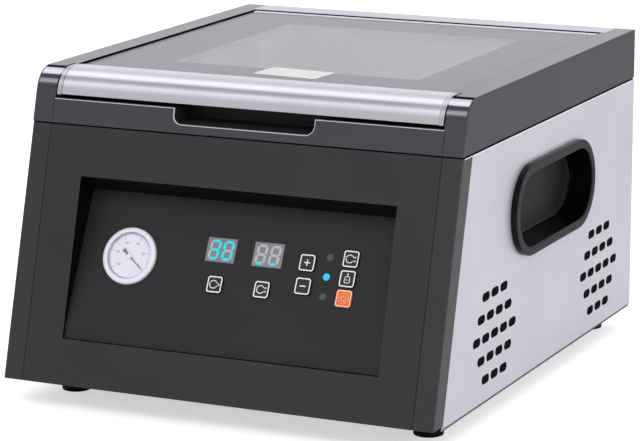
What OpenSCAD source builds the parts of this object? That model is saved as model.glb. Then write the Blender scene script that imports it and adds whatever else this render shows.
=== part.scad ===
/* [Housing] */
// Width across the side panels
body_w = 360; // [350:1:385]
// Depth from the foot of the raked front to the rear edge
body_d = 432; // [424:1:460]
// Height from the table to the top of the rails
body_h = 254.5; // [252:0.5:272]
// Height of the upper frame, from the seam to the top of the rails
upper_h = 41; // [39:0.5:44]
// Lean of the front from the vertical, in degrees
front_rake = 15.6; // [14.5:0.1:16.5]
// Height of the rubber feet below the base pan
foot_h = 17.5; // [14:0.5:22]
// Lower edge of the front above the underside of the base pan
front_lift = 3.5; // [2:0.5:5]
// Thickness of the sheet steel panels
sheet_t = 1.2; // [0.8:0.1:1.6]
// Wall of the moulded and folded dark parts
wall = 2.2; // [1.8:0.1:2.6]
// Gap shown at the horizontal seam
seam_gap = 1.2; // [0.6:0.1:2]
// Gap shown between neighbouring front parts
joint_gap = 0.5; // [0.3:0.1:0.8]
// Setback of the base pan behind the foot of the front
pan_setback = 18; // [16:0.5:30]
// Inset of the rear panel from the rear edge
rear_inset = 3.5; // [3:0.5:6]

/* [Front] */
// Width of each rail and of the cheek below it
rail_w = 16.4; // [14:0.2:18]
// How far a cheek wraps round the side
cheek_d = 18.5; // [14:0.5:24]
// Radius of the nose where the front meets the top
nose_r = 21.2; // [19:0.2:21.8]
// Half width of the recess in the front
recess_x = 132.4; // [130:0.2:140]
// Start of the recess, measured up the front
recess_s0 = 35.5; // [34:0.5:37]
// End of the recess, measured up the front
recess_s1 = 161.1; // [158:0.5:164]
// Lean of the control panel from the vertical, in degrees
panel_tilt = 26.6; // [26:0.1:27.5]
// Height of the control panel along its own slope
panel_h = 120; // [119:0.5:121.5]
// Thickness of the control panel
panel_t = 2; // [1.5:0.1:2.5]

/* [Finger pocket] */
// Width of the pocket
pocket_w = 117.6; // [90:1:140]
// Depth of the notch below the top of the front strip
pocket_h = 12.3; // [10:0.5:13]
// Corner radius of the notch
pocket_r = 7; // [4:0.5:9]

/* [Lid] */
// Depth of the well that the lid closes into
well_h = 22.2; // [21.5:0.1:23.5]
// Thickness of the glass
glass_t = 10.8; // [10:0.1:12]
// How far the glass lies below the top of the rails
glass_drop = 1.2; // [0.5:0.1:1.5]
// Gap between the lid and the ledge of each rail
lid_gap = 2.1; // [1.6:0.1:3]
// Gap between each end of the bar and the rail beside it
bar_end_gap = 2.1; // [1.6:0.1:3]
// Width of the ledge that each rail carries beside the lid
ledge_w = 3.5; // [2:0.1:5]
// Thickness of that ledge
ledge_t = 2.2; // [1.5:0.1:2.6]
// Gap between the lid and the rear cover
lid_rear_gap = 2.7; // [2.6:0.1:4]
// Depth of the rear cover
rear_cover_d = 26.5; // [24:0.5:30]
// Width of the side flanges of the lid frame
lid_flange_t = 3.2; // [3:0.1:4]
// Thickness of the lid frame under the glass
lid_frame_t = 6; // [5:0.5:6.5]
// Width of the clear window
window_w = 211; // [190:1:230]
// Depth of the clear window
window_d = 211; // [190:1:225]
// Depth of the dark border in front of the window
window_border = 55.6; // [50:0.2:60]
// Wall of the front bar
bar_t = 2; // [1.6:0.1:2.5]
// Thickness of the end caps of the bar
cap_t = 3.6; // [3:0.2:5]
// Flat top of the bar behind its nose
bar_flat = 9.4; // [8:0.2:11]
// Gap below the bar
bar_gap = 3; // [2.5:0.1:3.4]
// Radius of the hinge pins
pin_r = 3; // [2.5:0.1:3.4]
// Running clearance of the pins in their bushes
pin_clear = 0.05; // [0.02:0.01:0.09]

/* [Chamber] */
// Room beside the chamber, out to the side panel's face
chamber_side = 37; // [34:0.5:45]
// Room ahead of the chamber, from the foot of the front
chamber_front = 105.5; // [102.5:0.5:115]
// Room behind the chamber, to the rear edge
chamber_rear = 56.5; // [53.5:0.5:65]
// Height of the machine room under the chamber
machine_h = 121.8; // [119:0.2:129]
// Corner radius of the chamber
chamber_r = 24; // [18:1:32]
// Wall of the chamber
chamber_t = 1.5; // [1.2:0.1:1.8]
// Width of the lid seal
gasket_w = 8; // [6:0.5:9]
// Room at each end of the seal bar
seal_room = 13; // [11:0.5:23]
// Width of the seal bar
seal_w = 18; // [14:1:20]
// Travel of the seal bar
seal_travel = 12; // [8:1:14]
// Thickness of each filler plate
filler_t = 14; // [10:1:18]

/* [Side handles and vents] */
// Length of the handle flange
handle_l = 176; // [150:1:190]
// Height of the handle flange
handle_h = 72; // [64:1:78]
// How far the flange stands proud of the side
handle_proud = 5.3; // [3:0.1:7]
// Width of the flange rim
handle_rim = 7; // [5:0.5:10]
// Depth of the hand recess from the face of the flange
handle_depth = 23; // [18:1:26]
// Distance of the handle's centre behind the middle of the body
handle_y = 22; // [10:1:30]
// Height of the handle's centre above the base pan
handle_z = 132.6; // [125:1:138]
// Length of a vent slot
vent_l = 14; // [10:0.5:15]
// Height of a vent slot
vent_h = 6; // [4:0.5:7]
// Distance between slots in a row
vent_pitch = 18.2; // [16:0.2:20]
// Distance between rows of slots
vent_row = 16; // [13:0.5:17]

/* [Controls] */
// Diameter of the vacuum gauge
gauge_d = 45; // [40:0.5:50]
// How far the gauge stands proud of the panel
gauge_proud = 3.2; // [2:0.2:5]
// Width of a key
key_w = 12.6; // [11:0.2:13.4]
// Height of a key
key_h = 13; // [11:0.2:13.6]
// Corner radius of a key
key_r = 2; // [1:0.2:3]
// How far a key stands proud of the panel
key_proud = 1.4; // [1.2:0.1:2]
// Travel of a key
key_travel = 0.8; // [0.4:0.1:1]
// Clearance round a key
key_clear = 0.3; // [0.2:0.05:0.4]
// Width of a display
display_w = 24.8; // [22:0.2:27]
// Height of a display
display_h = 19.1; // [17:0.2:21]
// Diameter of an indicator lamp
lamp_d = 5.8; // [4:0.2:7]
// Distance of the circuit board behind the panel
board_back = 11; // [10.5:0.5:13]

/* [Hidden] */
$fn = 64;

seat_gap = 0.3;                               // gap left between parts of different bodies at rest
base_z = foot_h;                              // underside of the base pan
front_z = foot_h + front_lift;                // lower edge of the raked front
seam_z = body_h - upper_h;                    // middle of the seam round the body
lower_top = seam_z - seam_gap / 2;            // top edge of the lower panels
upper_z = seam_z + seam_gap / 2;              // lower edge of the upper frame
front_y0 = -body_d / 2;                       // foot of the raked front
rear_y = body_d / 2;                          // rear edge of the body
rail_x = body_w / 2 - rail_w;                 // inner face of a rail
deck_z = body_h - well_h;                     // sealing face of the chamber rim, level with the front strip
rim_t = 1.5;                                  // thickness of the chamber rim
deck_top = deck_z - rim_t;                    // top of the deck that carries the rim

function front_y(z) = front_y0 + (z - front_z) * tan(front_rake);
function slope_s(z) = (z - front_z) / cos(front_rake);

// nose: an arc tangent to the raked front and to the flat top
nose_z = body_h - nose_r;
nose_tangent_z = nose_z + nose_r * sin(front_rake);
nose_y = front_y(nose_tangent_z) + nose_r * cos(front_rake);

// recess: its foot lies on the front, and the panel leans back from there
recess_y0 = front_y0 + recess_s0 * sin(front_rake);
recess_z0 = front_z + recess_s0 * cos(front_rake);
recess_y1 = front_y0 + recess_s1 * sin(front_rake);
recess_z1 = front_z + recess_s1 * cos(front_rake);
panel_y1 = recess_y0 + panel_h * sin(panel_tilt);
panel_z1 = recess_z0 + panel_h * cos(panel_tilt);
bezel_t = 1.6;                                // wall of the bezel that lines the recess

// lid
bar_rear = nose_y + bar_flat;
bar_z = deck_z + bar_gap;
lid_x = rail_x - bar_end_gap;                 // outer end of the bar
lid_side_x = rail_x - ledge_w - lid_gap;      // outer side of the lid behind the bar
lid_rear = rear_y - rear_cover_d - lid_rear_gap;
glass_top = body_h - glass_drop;
glass_z = glass_top - glass_t;
lid_frame_z = glass_z - lid_frame_t;
glass_x = lid_side_x - lid_flange_t;
trim_d = 2.4;                                 // depth of the bright trim behind the glass
lip_t = lid_frame_z - bar_z;                  // lip of the bar that grips the lid frame
tongue_d = 21;                                // how far the lid frame runs into the bar
hinge_back = 6;                               // axis ahead of the rear edge of the lid
hinge_y = lid_rear - hinge_back;
hinge_z = body_h - hinge_back - 0.2;
boss_r = pin_r + 5;
pin_x = rail_x + 11;                          // end of each hinge pin, inside the rail

// chamber
chamber_w = body_w - 2 * chamber_side;
chamber_d = body_d - chamber_front - chamber_rear;
chamber_y = front_y0 + chamber_front + chamber_d / 2;
chamber_z = base_z + machine_h;               // floor of the chamber, inside
chamber_h = deck_z - chamber_z;
seal_l = chamber_w - 2 * seal_room;
rim_w = 12;                                   // width of the rim beyond the chamber wall
gasket_in = 3;                                // gasket's inner edge beyond the chamber wall
bar_y = chamber_y - chamber_d / 2 + 18;       // middle of the seal bar
pad_t = 8;                                    // silicone backing strip under the lid
pad_z = lid_frame_z - pad_t;
seal_top = pad_z - seat_gap - seal_travel;    // top of the heating band at rest
band_t = 0.8;
seal_body_h = 20;
rod_r = 5;
rod_x = seal_l * 0.34;
cylinder_r = 11;
cylinder_h = seal_top - band_t - seal_body_h - chamber_z - 18.1;

// controls: key centres as [across, up the panel]
key_col_time_a = -13;
key_col_time_b = 26.4;
key_col_step = 59.3;
key_col_mode = 93.9;
lamp_col = 76.3;
row_top = 85.2;
row_mid = 70;
row_low = 54.9;
display_row = 82;
gauge_at = [-89.1, 69.8];
step_rows = [79, 60.9];
key_places = [
    [key_col_time_a, row_low], [key_col_time_b, row_low], [key_col_step, step_rows[0]],
    [key_col_step, step_rows[1]], [key_col_mode, row_top], [key_col_mode, row_mid], [key_col_mode, row_low]
];
lamp_places = [for (u = [row_top, row_mid, row_low]) [lamp_col, u]];
display_places = [[key_col_time_a - 0.8, display_row], [key_col_time_b - 0.8, display_row]];
board_x = [-34, 108];
board_u = [40, 98];
board_t = 1.6;
key_lip = 1.1;                                // retaining lip of a key behind the panel
key_depth = 6;                                // length of a key behind the panel face

// rear
rear_face = rear_y - rear_inset;              // outer face of the rear panel
rear_in = rear_face - sheet_t;
inlet_at = [-118, base_z + 43.5];
switch_at = [-70, base_z + 43.5];
inlet_w = 27.6;
inlet_h = 20;
switch_w = 19.4;
switch_h = 13;
fan_at = [98, base_z + 57.5];
fan_size = 80;
fan_depth = 25;
fan_hole_pitch = 71.5;

// feet, as [x, y] of each centre
foot_r = 10.4;
foot_x = 150.5;                               // feet stand this far from the middle
foot_front = 62;                              // front feet behind the foot of the raked front
foot_rear = 21;                               // rear feet ahead of the rear edge
foot_places = [for (x = [-foot_x, foot_x], y = [front_y0 + foot_front, rear_y - foot_rear]) [x, y]];
foot_screw_r = 2;

// vents
vent_rows = [3, 4, 5, 4, 3];
vent_low_z = base_z + 18.3;
vent_group_y = [-96.6, 134.8];

// pump
pump_y = 88;
pump_x = -40;
motor_r = 46;
motor_l = 104;
head_w = 58;
pump_base_z = base_z + sheet_t;
bracket_z = pump_base_z + 14;
bracket_t = 3;
pump_z = bracket_z + bracket_t + motor_r;
damper_r = 9;
damper_y = 38;                                // dampers stand this far from the pump's axis

// ---------- shared shapes ----------

// outline in Y and Z, run along X
module along_x(x0, x1) {
    translate([x0, 0, 0]) rotate([90, 0, 90]) linear_extrude(x1 - x0) children();
}

module box(x, y, z) {
    translate([x[0], y[0], z[0]]) cube([x[1] - x[0], y[1] - y[0], z[1] - z[0]]);
}

module rounded_square(w, h, r) {
    square([w - 2 * r, h], center = true);
    square([w, h - 2 * r], center = true);
    for (sx = [-1, 1], sy = [-1, 1]) translate([sx * (w / 2 - r), sy * (h / 2 - r)]) circle(r);
}

// long round-ended outline, centred
module stadium(l, h) {
    square([l - h, h], center = true);
    for (s = [-1, 1]) translate([s * (l - h) / 2, 0]) circle(h / 2);
}

// frame of the raked front: X across, Y up the front, Z outward
module on_front() {
    translate([0, front_y0, front_z]) rotate([90 - front_rake, 0, 0]) children();
}

// frame of the control panel: X across, Y up the panel, Z outward
module on_panel(at = [0, 0]) {
    translate([0, recess_y0, recess_z0]) rotate([90 - panel_tilt, 0, 0])
        translate([at[0], at[1], 0]) children();
}

// section of the rails and the bar, set in from the outside by inset
module nose_section(z0, y1, inset = 0) {
    shift = inset / cos(front_rake);
    r = nose_r - inset;
    top = body_h - inset;
    middle = [nose_y, nose_z];
    to_front = r * [-cos(front_rake), sin(front_rake)];
    to_top = [0, r];
    difference() {
        polygon([[front_y(z0) + shift, z0], [front_y(top) + shift, top], [y1, top], [y1, z0]]);
        difference() {
            polygon([middle, middle + 2 * to_front, middle + 3 * to_front + 3 * to_top, middle + 2 * to_top]);
            translate(middle) circle(r);
        }
    }
}

// straight round run from a to b
module run(a, b, r) {
    v = b - a;
    translate(a) rotate([0, acos(v[2] / norm(v)), atan2(v[1], v[0])]) cylinder(r = r, h = norm(v));
}

// quarter bend at corner p, from direction a to direction b
module elbow(p, a, b, rb, r) {
    c = p - rb * a + rb * b;
    x = -b;
    z = cross(x, a);
    multmatrix([[x[0], a[0], z[0], c[0]], [x[1], a[1], z[1], c[1]], [x[2], a[2], z[2], c[2]], [0, 0, 0, 1]])
        rotate_extrude(angle = 90) translate([rb, 0]) circle(r);
}

// round hose through square corners p, each rounded with radius rb
module hose(p, rb, r) {
    dir = [for (k = [0:len(p) - 2]) (p[k + 1] - p[k]) / norm(p[k + 1] - p[k])];
    last = len(p) - 2;
    for (k = [0:last])
        run(p[k] + (k > 0 ? rb : 0) * dir[k], p[k + 1] - (k < last ? rb : 0) * dir[k], r);
    for (k = [0:1:last - 1]) elbow(p[k + 1], dir[k], dir[k + 1], rb, r);
}

// ---------- base ----------

module base_pan() {
    x = body_w / 2 - sheet_t;
    y0 = front_y0 + pan_setback;
    y1 = rear_in;
    flange_h = 9;
    color([0.25, 0.25, 0.27]) difference() {
        box([-x, x], [y0, y1], [base_z, base_z + flange_h]);
        box([-x + sheet_t, x - sheet_t], [y0 + sheet_t, y1 - sheet_t], [base_z + sheet_t, base_z + flange_h + 1]);
        for (p = foot_places) translate([p[0], p[1], base_z - 1]) cylinder(r = foot_screw_r + 0.1, h = 4);
        for (row = [-3:3], col = [0:7])
            translate([20 + row * 26, -150 + col * 14, base_z - 1])
                linear_extrude(4) stadium(18, 5);
    }
}

module feet() {
    rim = 1;
    color([0.08, 0.08, 0.08]) for (p = foot_places) translate([p[0], p[1], 0]) difference() {
        union() {
            cylinder(r1 = foot_r - rim, r2 = foot_r, h = 2);
            translate([0, 0, 2]) cylinder(r = foot_r, h = foot_h - 2);
        }
        translate([0, 0, -1]) cylinder(r = 4.5, h = 1 + foot_h * 0.45);
        translate([0, 0, -1]) cylinder(r = foot_screw_r, h = foot_h + 2);
    }
}

module foot_screws() {
    head_z = foot_h * 0.45 - 2;
    color([0.7, 0.7, 0.72]) for (p = foot_places) translate([p[0], p[1], 0]) {
        difference() {
            translate([0, 0, head_z]) cylinder(r = 3.6, h = 2);
            translate([0, 0, head_z - 1]) cylinder(r = 2.3, h = 2, $fn = 6);
        }
        translate([0, 0, head_z + 2]) cylinder(r = foot_screw_r, h = foot_h + 6 - head_z - 2);
    }
}

module vent_group(y) {
    for (row = [0:len(vent_rows) - 1], col = [0:vent_rows[row] - 1])
        translate([y + (col - (vent_rows[row] - 1) / 2) * vent_pitch, vent_low_z + row * vent_row])
            stadium(vent_l, vent_h);
}

// side panel for side = -1 (left) or 1 (right)
module side_panel(side) {
    x1 = body_w / 2;
    corner = 4;
    back = cheek_d + joint_gap / 4;
    z0 = base_z;
    color([0.78, 0.78, 0.8]) along_x(side > 0 ? x1 - sheet_t : -x1, side > 0 ? x1 : -x1 + sheet_t)
        difference() {
            union() {
                polygon([
                    [front_y(z0) + back, z0], [front_y(lower_top) + back, lower_top],
                    [rear_y, lower_top], [rear_y, z0 + corner], [rear_y - corner, z0]
                ]);
                translate([rear_y - corner, z0 + corner]) circle(corner);
            }
            for (y = vent_group_y) vent_group(y);
            translate([handle_y, base_z + handle_z])
                stadium(handle_l - 2 * handle_rim + 2 * wall + 0.4, handle_h - 2 * handle_rim + 2 * wall + 0.4);
        }
}

module handle_cup(side) {
    x0 = body_w / 2 - (handle_depth - handle_proud);
    l = handle_l - 2 * handle_rim;
    h = handle_h - 2 * handle_rim;
    draft = 3;
    color([0.16, 0.16, 0.17]) mirror([side > 0 ? 0 : 1, 0, 0]) translate([0, handle_y, base_z + handle_z])
        difference() {
            union() {
                along_x(body_w / 2, body_w / 2 + handle_proud - 1) stadium(handle_l, handle_h);
                along_x(body_w / 2 + handle_proud - 1, body_w / 2 + handle_proud)
                    stadium(handle_l - 1.6, handle_h - 1.6);
                along_x(x0 - wall, body_w / 2) stadium(l + 2 * wall, h + 2 * wall);
            }
            along_x(body_w / 2 + handle_proud - 4, body_w / 2 + handle_proud + 1) stadium(l, h);
            along_x(x0, body_w / 2 + handle_proud - 3.9) stadium(l - draft, h - draft);
        }
}

module rear_panel() {
    x = body_w / 2 - sheet_t;
    color([0.6, 0.6, 0.62]) difference() {
        box([-x, x], [rear_in, rear_face], [base_z, lower_top]);
        translate([0, rear_in - 1, 0]) rotate([90, 0, 0]) mirror([0, 0, 1]) linear_extrude(4) {
            translate(inlet_at) rounded_square(inlet_w, inlet_h, 2);
            translate(switch_at) square([switch_w, switch_h], center = true);
            for (row = [-3:3]) translate([fan_at[0], fan_at[1] + row * 10])
                stadium(sqrt(pow(36, 2) - pow(row * 10, 2)) * 2, 5);
            for (row = [0:3]) translate([0, 150 + row * 12]) stadium(120, 5);
            for (s = [-1, 1]) translate([inlet_at[0] + s * 20, inlet_at[1]]) circle(1.6);
        }
    }
}

// pressed front sheet seen from the side, with its top and bottom flanges
module front_section() {
    t = wall / cos(front_rake);
    fold = 11;
    polygon([
        [front_y0, front_z], [front_y(lower_top), lower_top],
        [front_y(lower_top) + fold, lower_top], [front_y(lower_top) + fold, lower_top - wall],
        [front_y(lower_top - wall) + t, lower_top - wall], [front_y(front_z + wall) + t, front_z + wall],
        [front_y0 + pan_setback, front_z + wall], [front_y0 + pan_setback, front_z]
    ]);
}

module front_panel() {
    x = rail_x - joint_gap / 2;
    color([0.2, 0.2, 0.21]) difference() {
        along_x(-x, x) front_section();
        on_front() box([-recess_x, recess_x], [recess_s0, recess_s1], [-wall - 1, 1]);
        // clears the recess lining where it leans back
        along_x(-recess_x - bezel_t - 0.1, recess_x + bezel_t + 0.1) bezel_outline(bezel_t + 0.1);
    }
}

// angle-section cheek beside the front panel
module front_cheek(side) {
    x1 = body_w / 2;
    x0 = rail_x + joint_gap / 2;
    depth = cheek_d * cos(front_rake);
    edge_r = 1.6;
    color([0.2, 0.2, 0.21]) mirror([side > 0 ? 0 : 1, 0, 0]) intersection() {
        on_front() rotate([-90, 0, 0]) translate([0, 0, -20]) linear_extrude(body_h) difference() {
            union() {
                translate([x0, edge_r]) square([x1 - x0, depth - edge_r]);
                translate([x0, 0]) square([x1 - x0 - edge_r, edge_r + 1]);
                translate([x1 - edge_r, edge_r]) circle(edge_r);
            }
            translate([x0 - 1, wall]) square([x1 - x0 + 1 - wall, depth]);
        }
        box([0, x1 + 1], [front_y0, rear_y], [front_z, lower_top]);
    }
}

// ---------- upper frame ----------

module pocket_outline(w, h, r) {
    translate([-w / 2, -h + r]) square([w, h - r + 10]);
    translate([-w / 2 + r, -h]) square([w - 2 * r, h]);
    for (s = [-1, 1]) translate([s * (w / 2 - r), -h + r]) circle(r);
}

pocket_back = bar_rear - 3;
strip_s = slope_s(deck_z);
rail_wall = 2.5;
ledge_gap = 0.5;                              // room at each end of a ledge
joint_d = 0.8;                                // depth of the joint line beside the front strip
deck_t = 2.5;
tongue_h = 8;

module upper_frame() {
    color([0.21, 0.21, 0.22]) {
        difference() {
            union() {
                for (s = [-1, 1]) mirror([s > 0 ? 0 : 1, 0, 0]) {
                    along_x(rail_x, body_w / 2) difference() {
                        nose_section(upper_z, rear_y);
                        nose_section(upper_z - 1, rear_y - rail_wall, rail_wall);
                    }
                    along_x(rail_x, rail_x + rail_wall) nose_section(upper_z, rear_y);
                    along_x(body_w / 2 - rail_wall, body_w / 2) nose_section(upper_z, rear_y);
                    // ledge beside the lid, from the bar to the rear cover
                    box([rail_x - ledge_w, rail_x + rail_wall],
                        [bar_rear + ledge_gap, rear_y - rear_cover_d - ledge_gap], [body_h - ledge_t, body_h]);
                    translate([rail_x, hinge_y, hinge_z]) rotate([0, 90, 0]) intersection() {
                        cylinder(r = boss_r, h = rail_w);
                        translate([-body_h + hinge_z, -50, 0]) cube([body_h, 100, rail_w]);
                    }
                }
                front_strip();
                box([-rail_x, rail_x], [front_y(deck_top) + 1, rear_y - rail_wall], [deck_top - deck_t, deck_top]);
                box([-rail_x, rail_x], [rear_y - 2 * rail_wall, rear_y - rail_wall], [upper_z, deck_top]);
                // tongues that the side panels are fixed to
                for (s = [-1, 1]) mirror([s > 0 ? 0 : 1, 0, 0])
                    box([body_w / 2 - sheet_t - rail_wall, body_w / 2 - sheet_t - 0.1],
                        [front_y(lower_top) + cheek_d + 4, rear_in - 1], [upper_z - tongue_h, upper_z + rail_wall]);
            }
            // opening for the chamber
            translate([0, chamber_y, deck_top - deck_t - 1]) linear_extrude(deck_t + 2)
                rounded_square(chamber_w + 2 * chamber_t + 1, chamber_d + 2 * chamber_t + 1,
                    chamber_r + chamber_t + 0.5);
            // notch for the fingers, and the opening for the pocket behind it
            on_front() translate([0, strip_s, -pocket_r - rail_wall]) linear_extrude(pocket_r + 2 * rail_wall)
                pocket_outline(pocket_w, pocket_h, pocket_r);
            box([-pocket_w / 2 - bezel_t - 0.1, pocket_w / 2 + bezel_t + 0.1],
                [front_y(deck_top) + rail_wall / cos(front_rake) + 0.4, pocket_back + bezel_t + 0.1],
                [deck_top - deck_t - 1, deck_top + 1]);
            for (s = [-1, 1]) translate([s * (rail_x - 1), hinge_y, hinge_z]) rotate([0, s * 90, 0])
                cylinder(r = pin_r + pin_clear, h = pin_x - rail_x + 2);
            // joint line between each rail and the front strip
            for (s = [-1, 1]) mirror([s > 0 ? 0 : 1, 0, 0]) on_front()
                box([rail_x - joint_gap, rail_x], [slope_s(upper_z) - 2, strip_s + 2], [-joint_d, 1]);
        }
    }
}

module front_strip() {
    intersection() {
        on_front() box([-rail_x, rail_x], [slope_s(upper_z) - 10, strip_s + 10], [-rail_wall, 0]);
        box([-rail_x, rail_x], [front_y0, 0], [upper_z, deck_z]);
    }
}

module finger_pocket() {
    floor_z = deck_z - pocket_h * cos(front_rake);
    y0 = front_y(deck_z - pocket_h) + rail_wall / cos(front_rake) + 0.6;
    x = pocket_w / 2;
    color([0.05, 0.05, 0.05]) intersection() {
        difference() {
            box([-x - bezel_t, x + bezel_t], [y0 - 8, pocket_back + bezel_t], [floor_z - bezel_t, deck_top]);
            box([-x, x], [y0 - 9, pocket_back], [floor_z, deck_top + 1]);
        }
        on_front() box([-body_w, body_w], [0, body_h], [-80, -rail_wall]);
    }
}

module rear_cover() {
    x = rail_x - 0.3;
    y0 = rear_y - rear_cover_d;
    t = 1.5;
    color([0.8, 0.8, 0.82]) {
        difference() {
            union() {
                box([-x, x], [y0, rear_y], [upper_z, body_h]);
            }
            box([-x - 1, x + 1], [y0 + t, rear_y - t], [upper_z - 1, body_h - t]);
            box([-x - 1, x + 1], [y0 - 1, y0 + t + 1], [upper_z - 1, deck_top + 0.1]);
        }
    }
}

// ---------- controls ----------

// recess seen from the side, grown by t behind its walls
module bezel_outline(t) {
    n = [cos(panel_tilt), -sin(panel_tilt)];
    top = [panel_y1 - recess_y1, panel_z1 - recess_z1];
    m = [-top[1], top[0]] / norm(top);
    polygon([
        [recess_y0, recess_z0],
        [recess_y0 + n[0] * (panel_t + t), recess_z0 + n[1] * (panel_t + t)],
        [panel_y1 + n[0] * (panel_t + t) + m[0] * t, panel_z1 + n[1] * (panel_t + t) + m[1] * t],
        [recess_y1 + m[0] * t, recess_z1 + m[1] * t],
        [recess_y1, recess_z1]
    ]);
}

// the open recess itself, run out through the front
module recess_outline() {
    polygon([
        [recess_y0 - 10, recess_z0 - 10 / tan(90 - panel_tilt)], [recess_y0, recess_z0], [panel_y1, panel_z1],
        [recess_y1, recess_z1],
        [recess_y1 - (panel_y1 - recess_y1), recess_z1 - (panel_z1 - recess_z1)]
    ]);
}

module control_bezel() {
    x = recess_x;
    color([0.03, 0.03, 0.03]) intersection() {
        difference() {
            along_x(-x - bezel_t, x + bezel_t) bezel_outline(bezel_t);
            along_x(-x, x) recess_outline();
            on_panel() box([-x - 0.1, x + 0.1], [-5, panel_h], [-panel_t, 0.5]);
            on_panel() box([-x + 8, x - 8], [8, panel_h - 8], [-panel_t - bezel_t - 1, 0]);
        }
        on_front() box([-body_w, body_w], [0, body_h], [-80, -wall]);
    }
}

module control_panel() {
    color([0.22, 0.22, 0.23]) intersection() {
        on_panel() difference() {
            box([-recess_x, recess_x], [0, panel_h], [-panel_t, 0]);
            for (p = key_places) translate([p[0], p[1], -panel_t - 1]) linear_extrude(panel_t + 2)
                rounded_square(key_w + 2 * key_clear, key_h + 2 * key_clear, key_r + key_clear);
            for (p = display_places) translate([p[0], p[1], -panel_t - 1]) linear_extrude(panel_t + 2)
                square([display_w, display_h], center = true);
            for (p = lamp_places) translate([p[0], p[1], -panel_t - 1])
                cylinder(r = lamp_d / 2, h = panel_t + 2);
            translate([gauge_at[0], gauge_at[1], -panel_t - 1])
                cylinder(r = gauge_case_r + 0.1, h = panel_t + 2);
        }
        on_front() box([-body_w, body_w], [0, body_h], [-80, -wall]);
    }
}

module control_board() {
    color([0.05, 0.3, 0.15]) on_panel() {
        box(board_x, board_u, [-board_back - board_t, -board_back]);
        box([60, 76], [44, 50], [-board_back - board_t - 6, -board_back - board_t]);
        box([-28, -8], [44, 52], [-board_back - board_t - 9, -board_back - board_t]);
        // push switches behind the keys
        for (p = key_places) translate([p[0], p[1], -board_back]) {
            top = board_back - key_depth - key_travel - 0.1;
            linear_extrude(top - 1.2) square([6, 6], center = true);
            translate([0, 0, top - 1.2]) cylinder(r = 1.7, h = 1.2);
        }
    }
}

module board_spacers() {
    inset = 4;
    color([0.75, 0.75, 0.7])
        for (x = [board_x[0] + inset, board_x[1] - inset], u = [board_u[0] + inset, board_u[1] - inset])
            on_panel([x, u]) translate([0, 0, -board_back]) cylinder(r = 2.5, h = board_back - panel_t);
}

module displays() {
    sunk = 0.4;
    color([0.5, 0.5, 0.52]) for (p = display_places) on_panel(p) translate([0, 0, -board_back])
        linear_extrude(board_back - sunk) square([display_w - 0.2, display_h - 0.2], center = true);
}

module indicator_lamps() {
    color([0.35, 0.35, 0.37]) for (p = lamp_places) on_panel(p) {
        translate([0, 0, -board_back]) cylinder(r = lamp_d / 2 - 0.1, h = board_back - 0.1);
    }
}

module key_cap(at, tint) {
    color(tint) on_panel(at) difference() {
        union() {
            translate([0, 0, -key_depth]) linear_extrude(key_depth + key_proud) rounded_square(key_w, key_h, key_r);
            translate([0, 0, -panel_t - seat_gap - key_lip]) linear_extrude(key_lip)
                rounded_square(key_w + 1.2, key_h + 1.2, key_r);
        }
        translate([0, 0, -key_depth - 1]) linear_extrude(key_depth - 2) difference() {
            square([key_w - 2.4, key_h - 2.4], center = true);
            square([4, 4], center = true);
        }
    }
}

gauge_case_r = gauge_d / 2 - 2.5;
gauge_depth = 24;
dial_z = 0.6;                                 // face of the dial above the panel
needle_z = dial_z + 0.6;
lens_t = 0.8;
lens_z = gauge_proud - 0.3 - lens_t;          // underside of the lens, held by a lip of the bezel

module gauge_case() {
    color([0.75, 0.75, 0.77]) on_panel(gauge_at) {
        difference() {
            translate([0, 0, -gauge_depth]) cylinder(r = gauge_case_r, h = gauge_depth);
            translate([0, 0, -gauge_depth + 1.2]) cylinder(r = gauge_case_r - 1.2, h = gauge_depth);
        }
        difference() {
            translate([0, 0, -gauge_depth + 1.2]) cylinder(r = 8, h = gauge_depth - 1.2 - 1.4);
            translate([0, 0, -8]) cylinder(r = pivot_r + pin_clear, h = 10);
        }
        translate([0, 0, -gauge_depth + 1]) mirror([0, 0, 1]) {
            cylinder(r = 6, h = 4, $fn = 6);
            translate([0, 0, 4]) cylinder(r = thin_barb, h = 8);
        }
    }
}

module gauge_bezel() {
    color([0.9, 0.9, 0.92]) on_panel(gauge_at) rotate_extrude() difference() {
        union() {
            translate([gauge_case_r - 1.6, 0]) square([gauge_d / 2 - gauge_case_r + 1.6, gauge_proud - 1.2]);
            translate([gauge_case_r - 1.6, 0]) square([gauge_d / 2 - gauge_case_r + 0.4, gauge_proud]);
            translate([gauge_d / 2 - 1.2, gauge_proud - 1.2]) circle(1.2);
        }
        translate([0, -1]) square([gauge_case_r - 1, 1 + lens_z + lens_t]);
    }
}

module gauge_dial() {
    color([0.93, 0.93, 0.95]) on_panel(gauge_at) translate([0, 0, dial_z - 0.8]) difference() {
        cylinder(r = gauge_case_r - 1.3, h = 0.8);
        translate([0, 0, -1]) cylinder(r = pivot_r + 0.4, h = 3);
    }
}

pivot_r = 1.1;                                // staff of the needle
needle_rest = -38;                            // angle of the needle at zero vacuum

module gauge_needle() {
    tip = gauge_case_r - 5;
    color([0.1, 0.1, 0.1]) on_panel(gauge_at) {
        translate([0, 0, -7]) cylinder(r = pivot_r, h = needle_z + 7);
        translate([0, 0, needle_z]) {
            cylinder(r = 1.9, h = 0.6);
            rotate([0, 0, needle_rest]) linear_extrude(0.4)
                polygon([[-7.5, -1.5], [-7.5, 1.5], [-2, 0.6], [tip, 0.18], [tip, -0.18], [-2, -0.6]]);
        }
    }
}

module gauge_lens() {
    color([0.85, 0.9, 0.95, 0.3]) on_panel(gauge_at) translate([0, 0, lens_z])
        cylinder(r = gauge_case_r - 1.05, h = lens_t);
}

// ---------- chamber ----------

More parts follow.
